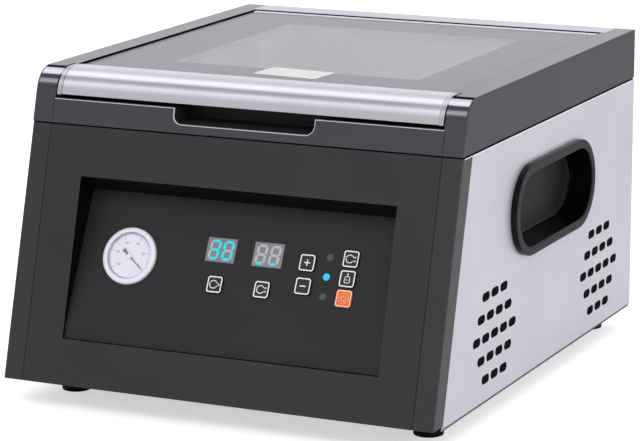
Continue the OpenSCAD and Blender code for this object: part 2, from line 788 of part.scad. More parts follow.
module chamber_tub() {
    bottom_r = 10;
    w = chamber_w + 2 * chamber_t;
    d = chamber_d + 2 * chamber_t;
    color([0.75, 0.75, 0.77]) translate([0, chamber_y, 0]) difference() {
        union() {
            translate([0, 0, chamber_z - chamber_t]) linear_extrude(chamber_h + chamber_t)
                rounded_square(w, d, chamber_r + chamber_t);
            translate([0, 0, deck_top]) linear_extrude(rim_t)
                rounded_square(chamber_w + 2 * rim_w, chamber_d + 2 * rim_w, chamber_r + rim_w);
        }
        translate([0, 0, chamber_z]) linear_extrude(chamber_h + 1) rounded_square(chamber_w, chamber_d, chamber_r);
        // vacuum port in the floor
        translate([port_x, port_y - chamber_y, chamber_z - 5]) cylinder(r = port_r, h = 10);
    }
}

port_x = 96;
port_y = chamber_y + chamber_d / 2 - 18;
port_r = 7;

module vacuum_port() {
    color([0.72, 0.6, 0.3]) translate([port_x, port_y, chamber_z]) {
        difference() {
            union() {
                cylinder(r = 12, h = 3);
                translate([0, 0, -14]) cylinder(r = port_r, h = 14);
                translate([0, 0, -24]) cylinder(r = 4.5, h = 10);
            }
            translate([0, 0, -25]) cylinder(r = 2.8, h = 30);
        }
    }
}

module lift_cylinders() {
    color([0.6, 0.6, 0.62]) for (s = [-1, 1]) translate([s * rod_x, bar_y, chamber_z]) difference() {
        union() {
            cylinder(r = cylinder_r, h = cylinder_h);
            cylinder(r = cylinder_r + 3, h = 4);
        }
        translate([0, 0, 6]) cylinder(r = rod_r + pin_clear, h = cylinder_h);
    }
}

module seal_bar() {
    z1 = seal_top - band_t;
    z0 = z1 - seal_body_h;
    color([0.7, 0.7, 0.72]) {
        difference() {
            box([-seal_l / 2, seal_l / 2], [bar_y - seal_w / 2, bar_y + seal_w / 2], [z0, z1]);
            box([-seal_l / 2 + 6, seal_l / 2 - 6], [bar_y - 3, bar_y + 3], [z0 - 1, z0 + 4]);
        }
        for (s = [-1, 1]) translate([s * rod_x, bar_y, chamber_z + 7])
            cylinder(r = rod_r, h = z0 + 4 - chamber_z - 7);
    }
}

module heating_band() {
    color([0.75, 0.55, 0.35]) {
        box([-seal_l / 2 + 3, seal_l / 2 - 3], [bar_y - 6, bar_y + 6], [seal_top - band_t, seal_top - 0.3]);
        box([-seal_l / 2 + 3, seal_l / 2 - 3], [bar_y - 2.5, bar_y + 2.5], [seal_top - 0.3, seal_top]);
    }
}

filler_y = [bar_y + seal_w / 2 + 5, chamber_y + chamber_d / 2 - 34];

module filler_plates() {
    x = chamber_w / 2 - 10;
    color([0.9, 0.9, 0.88]) for (k = [0, 1]) translate([0, 0, chamber_z + k * filler_t]) difference() {
        translate([0, (filler_y[0] + filler_y[1]) / 2, k * seat_gap / 2]) linear_extrude(filler_t - k * seat_gap)
            rounded_square(2 * x, filler_y[1] - filler_y[0], 8);
        for (s = [-1, 1]) translate([s * (x - 16), filler_y[1] - 20, -1]) cylinder(r = 8, h = filler_t + 2);
    }
}

// ---------- pump and electrics ----------

module pump_motor() {
    fins = 9;
    color([0.3, 0.3, 0.32]) translate([pump_x, pump_y, pump_z]) rotate([0, 90, 0]) {
        translate([0, 0, -motor_l / 2]) cylinder(r = motor_r - 4, h = motor_l);
        for (k = [0:fins - 1]) translate([0, 0, -motor_l / 2 + 6 + k * (motor_l - 16) / (fins - 1)])
            cylinder(r = motor_r, h = 4);
    }
    color([0.3, 0.3, 0.32])
        box([pump_x - 30, pump_x + 30], [pump_y - 26, pump_y + 26], [bracket_z + bracket_t, pump_z - motor_r + 8]);
}

module pump_head() {
    x = motor_l / 2;
    color([0.65, 0.65, 0.67]) difference() {
        union() {
            box([x, x + head_w], [-30, 30], [-motor_r + 0, 22]);
            for (k = [0:3]) box([x + 3, x + head_w - 3], [-36, 36], [-26 + k * 10, -22 + k * 10]);
            box([x + 6, x + head_w - 6], [-33, 33], [22, 34]);
        }
        translate([x + head_w / 2, 20, 10]) cylinder(r = 4.5, h = 40);
        translate([x + head_w / 2, -20, 10]) cylinder(r = 4.5, h = 40);
    }
    color([0.65, 0.65, 0.67]) translate([x + head_w, head_barb[1] - pump_y, 0]) rotate([0, 90, 0])
        cylinder(r = barb_r, h = barb_l);
}

module pump_heads() {
    translate([pump_x, pump_y, pump_z]) for (s = [0, 1]) mirror([s, 0, 0]) pump_head();
}

module pump_bracket() {
    x = motor_l / 2 + head_w - 4;
    color([0.5, 0.5, 0.52]) difference() {
        box([pump_x - x, pump_x + x], [pump_y - damper_y - 10, pump_y + damper_y + 10],
            [bracket_z, bracket_z + bracket_t]);
        for (sx = [-1, 1], sy = [-1, 1]) translate([pump_x + sx * (x - 12), pump_y + sy * damper_y, bracket_z - 1])
            cylinder(r = 3, h = 6);
    }
}

module pump_dampers() {
    x = motor_l / 2 + head_w - 16;
    color([0.06, 0.06, 0.06]) for (sx = [-1, 1], sy = [-1, 1])
    translate([pump_x + sx * x, pump_y + sy * damper_y, pump_base_z]) {
        cylinder(r = damper_r, h = bracket_z - pump_base_z);
        cylinder(r = 2.9, h = bracket_z - pump_base_z + bracket_t + 2);
        translate([0, 0, bracket_z - pump_base_z + bracket_t]) cylinder(r = 6, h = 3);
    }
}

hose_r = 6.5;                                 // outside of the vacuum hose
barb_r = 4.5;
barb_l = 10;
hose_bend = 16;
head_face = pump_x + motor_l / 2 + head_w;    // outer face of the right pump head
head_barb = [head_face, pump_y + 12, pump_z];

module vacuum_hose() {
    top = chamber_z - 14.3;
    color([0.08, 0.08, 0.08]) difference() {
        hose([
            [port_x, port_y, top], [port_x, port_y, head_barb[2]],
            [port_x, head_barb[1], head_barb[2]], [head_face + 0.3, head_barb[1], head_barb[2]]
        ], hose_bend, hose_r);
        translate([port_x, port_y, top - barb_l]) cylinder(r = barb_r + pin_clear, h = barb_l + 1);
        translate([head_face - 1, head_barb[1], head_barb[2]]) rotate([0, 90, 0])
            cylinder(r = barb_r + pin_clear, h = barb_l + 1.3);
    }
}

// gauge hose: off the back of the gauge, round to the vertical and down to the valve
thin_r = 4;
thin_barb = 2.4;
thin_bend = 18;
spigot_z = gauge_depth + 5;                   // start of the gauge's spigot behind the panel
spigot_l = 9;
function panel_point(x, u, w) = [
    x, recess_y0 + u * sin(panel_tilt) - w * cos(panel_tilt), recess_z0 + u * cos(panel_tilt) + w * sin(panel_tilt)
];
thin_end = panel_point(gauge_at[0],
    gauge_at[1] - thin_bend + thin_bend * sin(panel_tilt), -spigot_z - spigot_l - thin_bend * cos(panel_tilt));
valve_z = pump_base_z + 44;                   // top of the valve body

module gauge_hose() {
    color([0.1, 0.1, 0.1]) difference() {
        union() {
            on_panel(gauge_at) {
                translate([0, 0, -spigot_z - spigot_l]) cylinder(r = thin_r, h = spigot_l - 0.3);
                translate([0, -thin_bend, -spigot_z - spigot_l])
                    multmatrix([[0, 0, -1, 0], [1, 0, 0, 0], [0, -1, 0, 0], [0, 0, 0, 1]])
                        rotate_extrude(angle = 90 - panel_tilt) translate([thin_bend, 0]) circle(thin_r);
            }
            translate([thin_end[0], thin_end[1], valve_z + 0.3])
                cylinder(r = thin_r, h = thin_end[2] - valve_z - 0.3);
            // collar of the moulded elbow, over the end of the straight hose
            translate([thin_end[0], thin_end[1], thin_end[2] - 5]) cylinder(r = thin_r + 1, h = 8);
        }
        on_panel(gauge_at) translate([0, 0, -spigot_z - spigot_l])
            cylinder(r = thin_barb + pin_clear, h = spigot_l + 1);
        translate([thin_end[0], thin_end[1], valve_z - 1]) cylinder(r = thin_barb + pin_clear, h = barb_l + 1);
    }
}

module solenoid_valve() {
    color([0.35, 0.36, 0.4]) translate([thin_end[0], thin_end[1], 0]) {
        box([-26, 26], [-14, 14], [pump_base_z, pump_base_z + 2]);
        box([-18, 18], [-12, 12], [pump_base_z + 2, pump_base_z + 24]);
        box([-14, 14], [-13, 13], [pump_base_z + 24, valve_z - 4]);
        translate([0, 0, valve_z - 4]) cylinder(r = 6, h = 4);
        translate([0, 0, valve_z]) cylinder(r = thin_barb, h = barb_l - 0.6);
        for (s = [-1, 1]) translate([s * 18, 0, pump_base_z + 13]) rotate([0, s * 90, 0]) cylinder(r = 4.5, h = 10);
    }
}

transformer_at = [122, -70];

module transformer() {
    w = 76;
    d = 34;
    h = 62;
    translate([transformer_at[0], transformer_at[1], pump_base_z]) {
        color([0.3, 0.3, 0.33]) {
            box([-w / 2 - 8, w / 2 + 8], [-d / 2, d / 2], [0, 2]);
            box([-w / 2, w / 2], [-d / 2, d / 2], [2, h]);
            box([-w / 2 + 14, w / 2 - 14], [-d / 2 - 14, d / 2 + 14], [14, h - 12]);
        }
    }
}

power_x = body_w / 2 - 22;                    // outer edge of the power board
power_at = [[power_x - 74, power_x], [-20, 60]];

module power_board() {
    z = pump_base_z + 8;
    color([0.08, 0.32, 0.16]) {
        box(power_at[0], power_at[1], [z, z + board_t]);
        for (x = [power_at[0][0] + 5, power_at[0][1] - 5], y = [power_at[1][0] + 5, power_at[1][1] - 5])
            translate([x, y, pump_base_z]) cylinder(r = 3, h = z - pump_base_z);
        translate([power_at[0][0] + 14, power_at[1][0] + 16, z + board_t]) cylinder(r = 8, h = 24);
        translate([power_at[0][0] + 14, power_at[1][0] + 38, z + board_t]) cylinder(r = 6, h = 18);
        for (k = [0:2]) box([power_at[0][0] + 30, power_at[0][0] + 50],
            [power_at[1][0] + 8 + 24 * k, power_at[1][0] + 24 + 24 * k],
            [z + board_t, z + board_t + 16]);
        box([power_at[0][1] - 18, power_at[0][1] - 6], [power_at[1][0] + 14, power_at[1][1] - 14],
            [z + board_t, z + board_t + 11]);
    }
}

// ---------- fan, inlet and switch ----------

fan_hub_r = 17;
fan_shaft_r = 1.5;

// fan frame of reference: Z points back through the rear panel, from its inner face
module at_fan() {
    translate([fan_at[0], rear_in, fan_at[1]]) rotate([-90, 0, 0]) children();
}

module fan_frame() {
    bore = fan_size / 2 - 2;
    web = 3;
    color([0.1, 0.1, 0.1]) at_fan() {
        translate([0, 0, web - fan_depth]) linear_extrude(fan_depth - web) difference() {
            fan_outline();
            circle(bore);
        }
        translate([0, 0, -fan_depth]) linear_extrude(web) difference() {
            fan_outline();
            difference() {
                circle(bore);
                circle(fan_hub_r);
                for (k = [0:1]) rotate([0, 0, 45 + 90 * k]) square([fan_size, 4], center = true);
            }
            circle(fan_shaft_r + pin_clear);
        }
    }
}

module fan_outline() {
    difference() {
        rounded_square(fan_size, fan_size, 4);
        for (sx = [-1, 1], sy = [-1, 1]) translate([sx, sy] * fan_hole_pitch / 2) circle(2.2);
    }
}

module fan_rotor() {
    blades = 7;
    tip_r = fan_size / 2 - 3.2;
    z0 = -fan_depth + 3 + seat_gap;
    h = fan_depth - 3 - seat_gap - 2;
    color([0.14, 0.14, 0.15]) at_fan() {
        translate([0, 0, -fan_depth]) cylinder(r = fan_shaft_r, h = 5);
        translate([0, 0, z0]) cylinder(r = fan_hub_r - 1, h = h);
        intersection() {
            translate([0, 0, z0 + 1]) cylinder(r = tip_r, h = h - 2);
            for (k = [0:blades - 1]) rotate([0, 0, k * 360 / blades]) translate([fan_hub_r - 4, 0, z0 + h / 2])
                rotate([38, 0, 0]) translate([0, -0.7, -h]) cube([tip_r, 1.4, 2 * h]);
        }
    }
}

module at_rear(at) {
    translate([at[0], rear_face, at[1]]) rotate([-90, 0, 0]) rotate([0, 0, 180]) children();
}

inlet_depth = 22;
inlet_flange = 2;

module inlet_socket() {
    color([0.06, 0.06, 0.06]) at_rear(inlet_at) {
        difference() {
            union() {
                linear_extrude(inlet_flange) {
                    rounded_square(inlet_w + 2.4, inlet_h + 3, 2);
                    difference() {
                        stadium(50, 12);
                        for (s = [-1, 1]) translate([s * 20, 0]) circle(1.7);
                    }
                }
                translate([0, 0, -inlet_depth]) linear_extrude(inlet_depth)
                    rounded_square(inlet_w - 0.4, inlet_h - 0.4, 2);
            }
            translate([0, 0, -inlet_depth + 3]) linear_extrude(inlet_depth) difference() {
                rounded_square(24, 16.4, 1);
                for (s = [-1, 1]) translate([s * 12, 8.2]) rotate([0, 0, 45]) square([5, 5], center = true);
            }
        }
    }
    color([0.8, 0.75, 0.5]) at_rear(inlet_at) for (p = [[-7, -2], [0, 2], [7, -2]])
        translate([p[0], p[1], -inlet_depth + 3]) linear_extrude(15) square([2, 4], center = true);
}

rocker_r = 1.5;
rocker_w = 15;
rocker_h = 9.4;
rocker_swing = 9;                             // tilt of the rocker to each side

module power_switch() {
    color([0.06, 0.06, 0.06]) at_rear(switch_at) difference() {
        union() {
            linear_extrude(1.6) rounded_square(switch_w + 2.6, switch_h + 2.6, 1);
            translate([0, 0, -18]) linear_extrude(18) square([switch_w - 0.3, switch_h - 0.3], center = true);
            for (x = [-6, 0, 6]) translate([x, 0, -26]) linear_extrude(8.1) square([0.8, 4.8], center = true);
        }
        translate([0, 0, -12]) linear_extrude(15) square([rocker_w + 1, rocker_h + 0.8], center = true);
        rotate([90, 0, 0]) translate([0, -2, -switch_h / 2 + 0.6])
            cylinder(r = rocker_r + pin_clear, h = switch_h - 1.2);
    }
}

module switch_rocker() {
    pivot = 2;                                // depth of the pivot behind the panel face
    color([0.09, 0.09, 0.09]) at_rear(switch_at) translate([0, 0, -pivot]) rotate([0, rocker_swing, 0]) {
        rotate([90, 0, 0]) translate([0, 0, -rocker_h / 2]) linear_extrude(rocker_h) polygon([
            [-rocker_w / 2 + 0.6, -2], [-rocker_w / 2 + 0.6, 2], [-rocker_w / 2 + 1.4, 5.4], [0, 3.4],
            [rocker_w / 2 - 1.4, 5.4], [rocker_w / 2 - 0.6, 2], [rocker_w / 2 - 0.6, -2], [2, -6], [-2, -6]
        ]);
        rotate([90, 0, 0]) translate([0, 0, -switch_h / 2 + 1]) cylinder(r = rocker_r, h = switch_h - 2);
    }
}

// ---------- lid ----------

window_y0 = bar_rear + window_border;
window_y1 = window_y0 + window_d;
glass_y0 = bar_rear + 0.2;
glass_y1 = lid_rear - trim_d - 0.2;

module lid_glass() {
    color([0.75, 0.8, 0.85, 0.5])
        box([-glass_x + 0.1, glass_x - 0.1], [glass_y0, glass_y1], [glass_z, glass_top]);
}

module lid_frame() {
    front = bar_rear - tongue_d;
    color([0.2, 0.2, 0.21]) difference() {
        union() {
            box([-lid_side_x, lid_side_x], [bar_rear + 0.1, lid_rear], [lid_frame_z, glass_z]);
            box([-lid_x + cap_t, lid_x - cap_t], [front, bar_rear + 1], [lid_frame_z, glass_z]);
            for (s = [-1, 1]) mirror([s > 0 ? 0 : 1, 0, 0])
                box([glass_x, lid_side_x], [bar_rear + 0.1, lid_rear], [glass_z - 1, glass_top]);
        }
        translate([0, (window_y0 + window_y1) / 2, lid_frame_z - 1]) linear_extrude(lid_frame_t + 2)
            rounded_square(window_w, window_d, 3);
        for (s = [-1, 1]) translate([s * (glass_x - 1), hinge_y, hinge_z]) rotate([0, s * 90, 0])
            cylinder(r = pin_r + pin_clear, h = 10);
    }
}

module lid_trim() {
    color([0.8, 0.8, 0.82])
        box([-glass_x + 0.1, glass_x - 0.1], [lid_rear - trim_d, lid_rear], [glass_z, glass_top]);
}

module lid_gasket() {
    w = chamber_w + 2 * gasket_in;
    d = chamber_d + 2 * gasket_in;
    r = chamber_r + gasket_in;
    color([0.12, 0.12, 0.12]) translate([0, chamber_y, deck_z + seat_gap]) difference() {
        linear_extrude(lid_frame_z - deck_z - seat_gap)
            rounded_square(w + 2 * gasket_w, d + 2 * gasket_w, r + gasket_w);
        translate([0, 0, -1]) linear_extrude(lid_frame_z - deck_z + 2) rounded_square(w, d, r);
    }
}

module seal_pad() {
    color([0.85, 0.35, 0.2])
        box([-seal_l / 2, seal_l / 2], [bar_y - seal_w / 2, bar_y + seal_w / 2], [pad_z, lid_frame_z]);
}

module lid_bar() {
    x = lid_x - cap_t - 0.1;
    color([0.82, 0.82, 0.84]) along_x(-x, x) difference() {
        nose_section(bar_z, bar_rear);
        nose_section(bar_z + lip_t, bar_rear + 1, bar_t);
    }
}

module bar_caps() {
    color([0.6, 0.6, 0.62]) for (s = [-1, 1]) mirror([s > 0 ? 0 : 1, 0, 0]) {
        along_x(lid_x - cap_t, lid_x) nose_section(bar_z, bar_rear);
        // plug inside the end of the bar, ahead of the lid frame
        along_x(lid_x - cap_t - 8, lid_x - cap_t + 0.5) intersection() {
            nose_section(bar_z + lip_t + 0.2, bar_rear, bar_t + 0.2);
            translate([front_y0, 0]) square([bar_rear - tongue_d - 0.3 - front_y0, body_h]);
        }
    }
}

module lid_hinge() {
    plate_t = 1.2;
    color([0.7, 0.7, 0.72]) for (s = [-1, 1]) mirror([s > 0 ? 0 : 1, 0, 0]) {
        box([lid_side_x, lid_side_x + plate_t], [lid_rear - 44, lid_rear - 1], [lid_frame_z, glass_top - 0.6]);
        translate([glass_x + 0.1, hinge_y, hinge_z]) rotate([0, 90, 0])
            cylinder(r = pin_r, h = pin_x - glass_x - 0.1);
    }
}

base_pan();
feet();
foot_screws();
side_panel(-1);  // side_panel_left
side_panel(1);  // side_panel_right
rear_panel();
front_panel();
front_cheek(-1);  // front_cheek_left
front_cheek(1);  // front_cheek_right
handle_cup(-1);  // handle_cup_left
handle_cup(1);  // handle_cup_right
upper_frame();
rear_cover();
finger_pocket();
control_bezel();
control_panel();
control_board();
board_spacers();
displays();
indicator_lamps();
key_cap(key_places[0], [0.2, 0.2, 0.21]);  // key_vacuum_time
key_cap(key_places[1], [0.2, 0.2, 0.21]);  // key_seal_time
key_cap(key_places[2], [0.2, 0.2, 0.21]);  // key_plus
key_cap(key_places[3], [0.2, 0.2, 0.21]);  // key_minus
key_cap(key_places[4], [0.2, 0.2, 0.21]);  // key_seal
key_cap(key_places[5], [0.2, 0.2, 0.21]);  // key_marinate
key_cap(key_places[6], [0.88, 0.33, 0.16]);  // key_start
gauge_case();
gauge_bezel();
gauge_dial();
gauge_needle();
gauge_lens();
chamber_tub();
vacuum_port();
lift_cylinders();
seal_bar();
heating_band();
filler_plates();
pump_motor();
pump_heads();
pump_bracket();
pump_dampers();
vacuum_hose();
gauge_hose();
solenoid_valve();
transformer();
power_board();
fan_frame();
fan_rotor();
inlet_socket();
power_switch();
switch_rocker();
lid_glass();
lid_frame();
lid_trim();
lid_gasket();
seal_pad();
lid_bar();
bar_caps();
lid_hinge();
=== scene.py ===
"""Chamber vacuum sealer: looks, materials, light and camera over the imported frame."""
import math

import bmesh
import bpy
from mathutils import Matrix, Vector


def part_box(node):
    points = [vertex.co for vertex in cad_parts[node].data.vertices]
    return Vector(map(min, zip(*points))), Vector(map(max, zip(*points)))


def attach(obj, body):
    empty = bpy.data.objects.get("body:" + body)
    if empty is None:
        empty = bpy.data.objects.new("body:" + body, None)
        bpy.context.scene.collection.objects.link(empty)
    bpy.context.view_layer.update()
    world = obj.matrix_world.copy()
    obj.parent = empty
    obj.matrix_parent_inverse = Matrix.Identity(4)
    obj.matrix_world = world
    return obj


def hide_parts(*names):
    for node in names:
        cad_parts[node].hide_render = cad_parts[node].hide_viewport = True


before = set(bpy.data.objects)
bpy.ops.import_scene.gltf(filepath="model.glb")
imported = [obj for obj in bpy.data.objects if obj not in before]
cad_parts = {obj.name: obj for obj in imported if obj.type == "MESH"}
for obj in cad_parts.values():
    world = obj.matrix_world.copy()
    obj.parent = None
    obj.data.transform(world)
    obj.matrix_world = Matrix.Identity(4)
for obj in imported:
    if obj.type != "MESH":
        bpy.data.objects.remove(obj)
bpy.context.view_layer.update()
scene = bpy.context.scene
scene.view_settings.view_transform = "Standard"

# ---------------------------------------------------------------- sizes of the part, in mm
WIDTH, DEPTH, TOP = 360.0, 432.0, 254.5
SIDE_X = WIDTH / 2
FRONT_Y, REAR_Y = -DEPTH / 2, DEPTH / 2
RAKE, TILT = math.radians(15.6), math.radians(26.6)     # lean of the front and of the control panel
PAN_Z, FRONT_Z = 17.5, 21.0                             # underside of the body, foot of the front
SEAM_Z = TOP - 41.0
RAIL_X = SIDE_X - 16.4                                  # inner face of a rail
LEDGE_X = RAIL_X - 3.5                                  # inner face of its ledge
LID_GAP, FLANGE_W, BAR_CAP_W = 2.1, 3.2, 3.6
LID_X = RAIL_X - LID_GAP
LID_SIDE = LEDGE_X - LID_GAP
GLASS_X = LID_SIDE - FLANGE_W
GLASS_TOP, GLASS_Z = TOP - 1.2, TOP - 12.0
COVER_Y = REAR_Y - 26.5
LID_REAR = COVER_Y - 2.7
WINDOW_X, WINDOW_Y = 105.5, (-69.7, 141.3)
PANEL_S = 35.5                                          # foot of the control panel, up the front
NOTCH_W, NOTCH_H, NOTCH_R = 117.6, 12.3, 7.0
BAR_Z = 235.3
STRIP_Z = BAR_Z - 3.0
STRIP_S = (STRIP_Z - FRONT_Z) / math.cos(RAKE)
SIDES = ((1, "right"), (-1, "left"))

# places on the control panel: across, and up its own slope
GAUGE = (-89.1, 69.8)
DISPLAYS = [(-13.8, 82.0), (25.6, 82.0)]
LAMPS = [(76.3, 85.2), (76.3, 70.0), (76.3, 54.9)]
KEYS = {
    "key_vacuum_time": (-13.0, 54.9), "key_seal_time": (26.4, 54.9),
    "key_plus": (59.3, 79.0), "key_minus": (59.3, 60.9),
    "key_seal": (93.9, 85.2), "key_marinate": (93.9, 70.0), "key_start": (93.9, 54.9),
}
KEY_W, KEY_H, KEY_TOP = 12.6, 13.0, 1.4


def front_y(z):
    """Y of the raked front at a height."""
    return FRONT_Y + (z - FRONT_Z) * math.tan(RAKE)


NOSE_R = 21.2
NOSE_Z = TOP - NOSE_R
NOSE_Y = front_y(NOSE_Z + NOSE_R * math.sin(RAKE)) + NOSE_R * math.cos(RAKE)
BAR_REAR = NOSE_Y + 9.4


# ---------------------------------------------------------------- places
def at_row(x, y, z):
    """A point of the row frame as it is."""
    return (x, y, z)


def on_front(across, up, out=0.0):
    """A point of the raked front's own frame."""
    return (across, FRONT_Y + up * math.sin(RAKE) - out * math.cos(RAKE),
            FRONT_Z + up * math.cos(RAKE) + out * math.sin(RAKE))


def on_panel(at, lift=0.0):
    """Places points in the control panel's own frame, round a point of it."""
    _, foot_y, foot_z = on_front(0, PANEL_S)

    def place(x, y, z):
        across, up, out = at[0] + x, at[1] + y, lift + z
        return (across, foot_y + up * math.sin(TILT) - out * math.cos(TILT),
                foot_z + up * math.cos(TILT) + out * math.sin(TILT))
    return place


# ---------------------------------------------------------------- camera
PICTURE_W, FOCAL = 640, 2948.716                        # in pixels, from the fit to the photograph
SENSOR = 36.0
CAMERA_AT = (0.9706, -2.1070, 0.6348)                   # in m
CAMERA_RIGHT = Vector((0.906774, 0.421611, -0.002173))
CAMERA_UP = Vector((-0.089706, 0.197966, 0.976095))
CAMERA_BACK = Vector((0.411963, -0.884903, 0.217332))


def camera():
    """The photograph's own view."""
    data = bpy.data.cameras.new("camera")
    ob = bpy.data.objects.new("camera", data)
    scene.collection.objects.link(ob)
    turn = Matrix((CAMERA_RIGHT, CAMERA_UP, CAMERA_BACK)).transposed().to_4x4()
    ob.matrix_world = Matrix.Translation(CAMERA_AT) @ turn
    data.sensor_fit = "HORIZONTAL"
    data.sensor_width = SENSOR
    data.lens = FOCAL / PICTURE_W * SENSOR
    data.clip_start, data.clip_end = 0.05, 60.0
    scene.camera = ob


camera()


# ---------------------------------------------------------------- node trees
class Nodes:
    """Short way to build the node tree of a material or of the world."""

    def __init__(self, owner, output="OutputMaterial"):
        self.owner = owner
        owner.use_nodes = True
        self.tree = owner.node_tree
        self.tree.nodes.clear()
        self.out = self.add(output)

    def add(self, kind, ins=None, **props):
        node = self.tree.nodes.new("ShaderNode" + kind)
        for key, value in props.items():
            setattr(node, key, value)
        for key, value in (ins or {}).items():
            if isinstance(value, bpy.types.NodeSocket):
                self.tree.links.new(value, node.inputs[key])
            else:
                node.inputs[key].default_value = value
        return node

    def coords(self, scale=(1, 1, 1)):
        place = self.add("TexCoord").outputs["Object"]
        return self.add("Mapping", {"Vector": place, "Scale": scale}).outputs[0]

    def noise(self, vec, scale, detail, rough=0.55):
        ins = {"Vector": vec, "Scale": scale, "Detail": detail, "Roughness": rough}
        return self.add("TexNoise", ins).outputs["Fac"]

    def span(self, fac, lo, hi, start=0.3, end=0.7):
        """Maps fac from start..end to the numbers lo..hi."""
        ins = {"Value": fac, "From Min": start, "From Max": end, "To Min": lo, "To Max": hi}
        return self.add("MapRange", ins).outputs[0]

    def colours(self, fac, stops):
        """A colour ramp from (position, colour) pairs."""
        node = self.add("ValToRGB", {"Fac": fac})
        marks = node.color_ramp.elements
        marks[0].position, marks[1].position = stops[0][0], stops[-1][0]
        marks[0].color, marks[1].color = (*stops[0][1], 1), (*stops[-1][1], 1)
        for at, colour in stops[1:-1]:
            marks.new(at).color = (*colour, 1)
        return node.outputs["Color"]

    def blend(self, fac, lo, hi):
        """A slow change from one colour to the other."""
        return self.colours(fac, ((0.3, lo), (0.7, hi)))

    def bump(self, height, strength, distance):
        return self.add("Bump", {"Height": height, "Strength": strength, "Distance": distance}).outputs[0]

    def finish(self, shader):
        self.tree.links.new(shader, self.out.inputs["Surface"])
        return self.owner


# ---------------------------------------------------------------- kinds of material
LILAC = (0.975, 0.975, 1.045)
PLAIN = (1.0, 1.0, 1.0)
PANEL_TINT = (0.965, 0.965, 1.035)
BAR_TINT = (0.98, 0.98, 1.03)
COVER_TINT = (0.98, 0.98, 1.02)
BORDER_TINT = (0.95, 0.97, 1.15)
GLASS_PRINT_TINT = (0.96, 0.975, 1.10)
DIAL_TINT = (0.975, 0.98, 1.04)
# the grain of brushed metal, longer and shorter, along X or along Y
LONG_X, SHORT_X, LONG_Y, SHORT_Y = (0.015, 1, 1), (0.02, 1, 1), (1, 0.02, 1), (1, 0.03, 1)
COAT_ROUGH = 0.05
GRAIN_SHARE = 0.35                                      # share of the fine grain in the change of colour
EDGE_LIGHT_FROM, EDGE_LIGHT_TO = 0.515, 0.56                        # pointiness at which an edge turns lighter, partly as wear, partly as a painted highlight


def scaled(colour, by):
    return tuple(min(1.0, c * by) for c in colour)


def tones(lo, hi, tint=PLAIN):
    """The darkest and the lightest tone of a grey with a tint."""
    return scaled(tint, lo), scaled(tint, hi)


def surface(name, shades, rough, metallic=0.0, scale=900.0, large=14.0, bump=0.15, depth=0.00004,
            stretch=(1, 1, 1), coat=0.0, spec=0.5, aniso=0.0, edge_wear_and_highlight=None):
    """A painted, moulded or brushed surface: fine grain in bump and gloss, slow change in colour."""
    n = Nodes(bpy.data.materials.new(name))
    fine = n.noise(n.coords(stretch), scale, 4.0, 0.6)
    slow = n.noise(n.coords(), large, 2.0, 0.5)
    mixed = n.add("Mix", {"Factor": GRAIN_SHARE, "A": slow, "B": fine}, data_type="FLOAT").outputs["Result"]
    colour = n.blend(mixed, *shades)
    # lighter edges, by pointiness: partly wear, partly painted highlight on the edges
    if edge_wear_and_highlight:
        edge = n.span(n.add("NewGeometry").outputs["Pointiness"], 0.0, 1.0, EDGE_LIGHT_FROM, EDGE_LIGHT_TO)
        ins = {"Factor": edge, "A": colour, "B": (*scaled(PLAIN, edge_wear_and_highlight), 1)}
        colour = n.add("Mix", ins, data_type="RGBA").outputs["Result"]
    shader = n.add("BsdfPrincipled", {
        "Base Color": colour, "Roughness": n.span(fine, max(0.02, rough - 0.05), min(1.0, rough + 0.06)),
        "Metallic": metallic, "Coat Weight": coat, "Coat Roughness": COAT_ROUGH,
        "Specular IOR Level": spec, "IOR": 1.5, "Anisotropic": aniso, "Normal": n.bump(fine, bump, depth)})
    return n.finish(shader.outputs[0])


def glowing(name, colour, large=600.0):
    """A lit lamp or segment."""
    n = Nodes(bpy.data.materials.new(name))
    slow = n.noise(n.coords(), large, 2.0)
    shader = n.add("BsdfPrincipled", {
        "Base Color": n.blend(slow, *tones(0.02, 0.024)), "Roughness": 0.3,
        "Emission Color": n.blend(slow, scaled(colour, 0.92), colour), "Emission Strength": 1.0})
    return n.finish(shader.outputs[0])


def clear(name, tint, ior=1.49, alpha=1.0):
    """Glass or clear plastic."""
    n = Nodes(bpy.data.materials.new(name))
    slow = n.noise(n.coords(), 9.0, 2.0)
    shader = n.add("BsdfPrincipled", {
        "Base Color": n.blend(slow, tint, scaled(tint, 1.01)), "Roughness": n.span(slow, 0.0, 0.008),
        "IOR": ior, "Transmission Weight": 1.0, "Alpha": alpha})
    return n.finish(shader.outputs[0])


# painted reflection bands of a rail nose: base tone by the elevation of its normal in degrees, light and
# dark bands that stand in for the studio's strips mirrored in the round
NOSE_PAINTED_REFLECTIONS = ((21, 0.10), (27, 0.11), (30, 0.36), (37, 0.38), (40.5, 0.12), (48.5, 0.13), (51, 0.70),
              (69, 0.72))


def nose_metal_painted_bands():
    """Polished metal of the rail noses, with painted reflection bands in its base colour, by height on the
    round.
    """
    def height(elevation):
        return NOSE_Z + NOSE_R * math.sin(math.radians(elevation))

    n = Nodes(bpy.data.materials.new("nose_metal_painted_bands"))
    place = n.add("TexCoord").outputs["Object"]
    z = n.add("SeparateXYZ", {0: place}).outputs["Z"]
    low, high = height(20), height(90)
    rise = n.add("MapRange", {"Value": z, "From Min": low / 1000, "From Max": high / 1000}).outputs[0]
    # the ramp paints light and dark reflection bands into the base colour
    stops = [((height(e) - low) / (high - low), scaled(LILAC, tone)) for e, tone in NOSE_PAINTED_REFLECTIONS]
    fine = n.noise(n.coords(SHORT_X), 1500, 4.0, 0.6)
    shader = n.add("BsdfPrincipled", {
        "Base Color": n.colours(rise, stops), "Roughness": n.span(fine, 0.13, 0.19), "Metallic": 1.0,
        "Normal": n.bump(fine, 0.05, 0.00002)})
    return n.finish(shader.outputs[0])


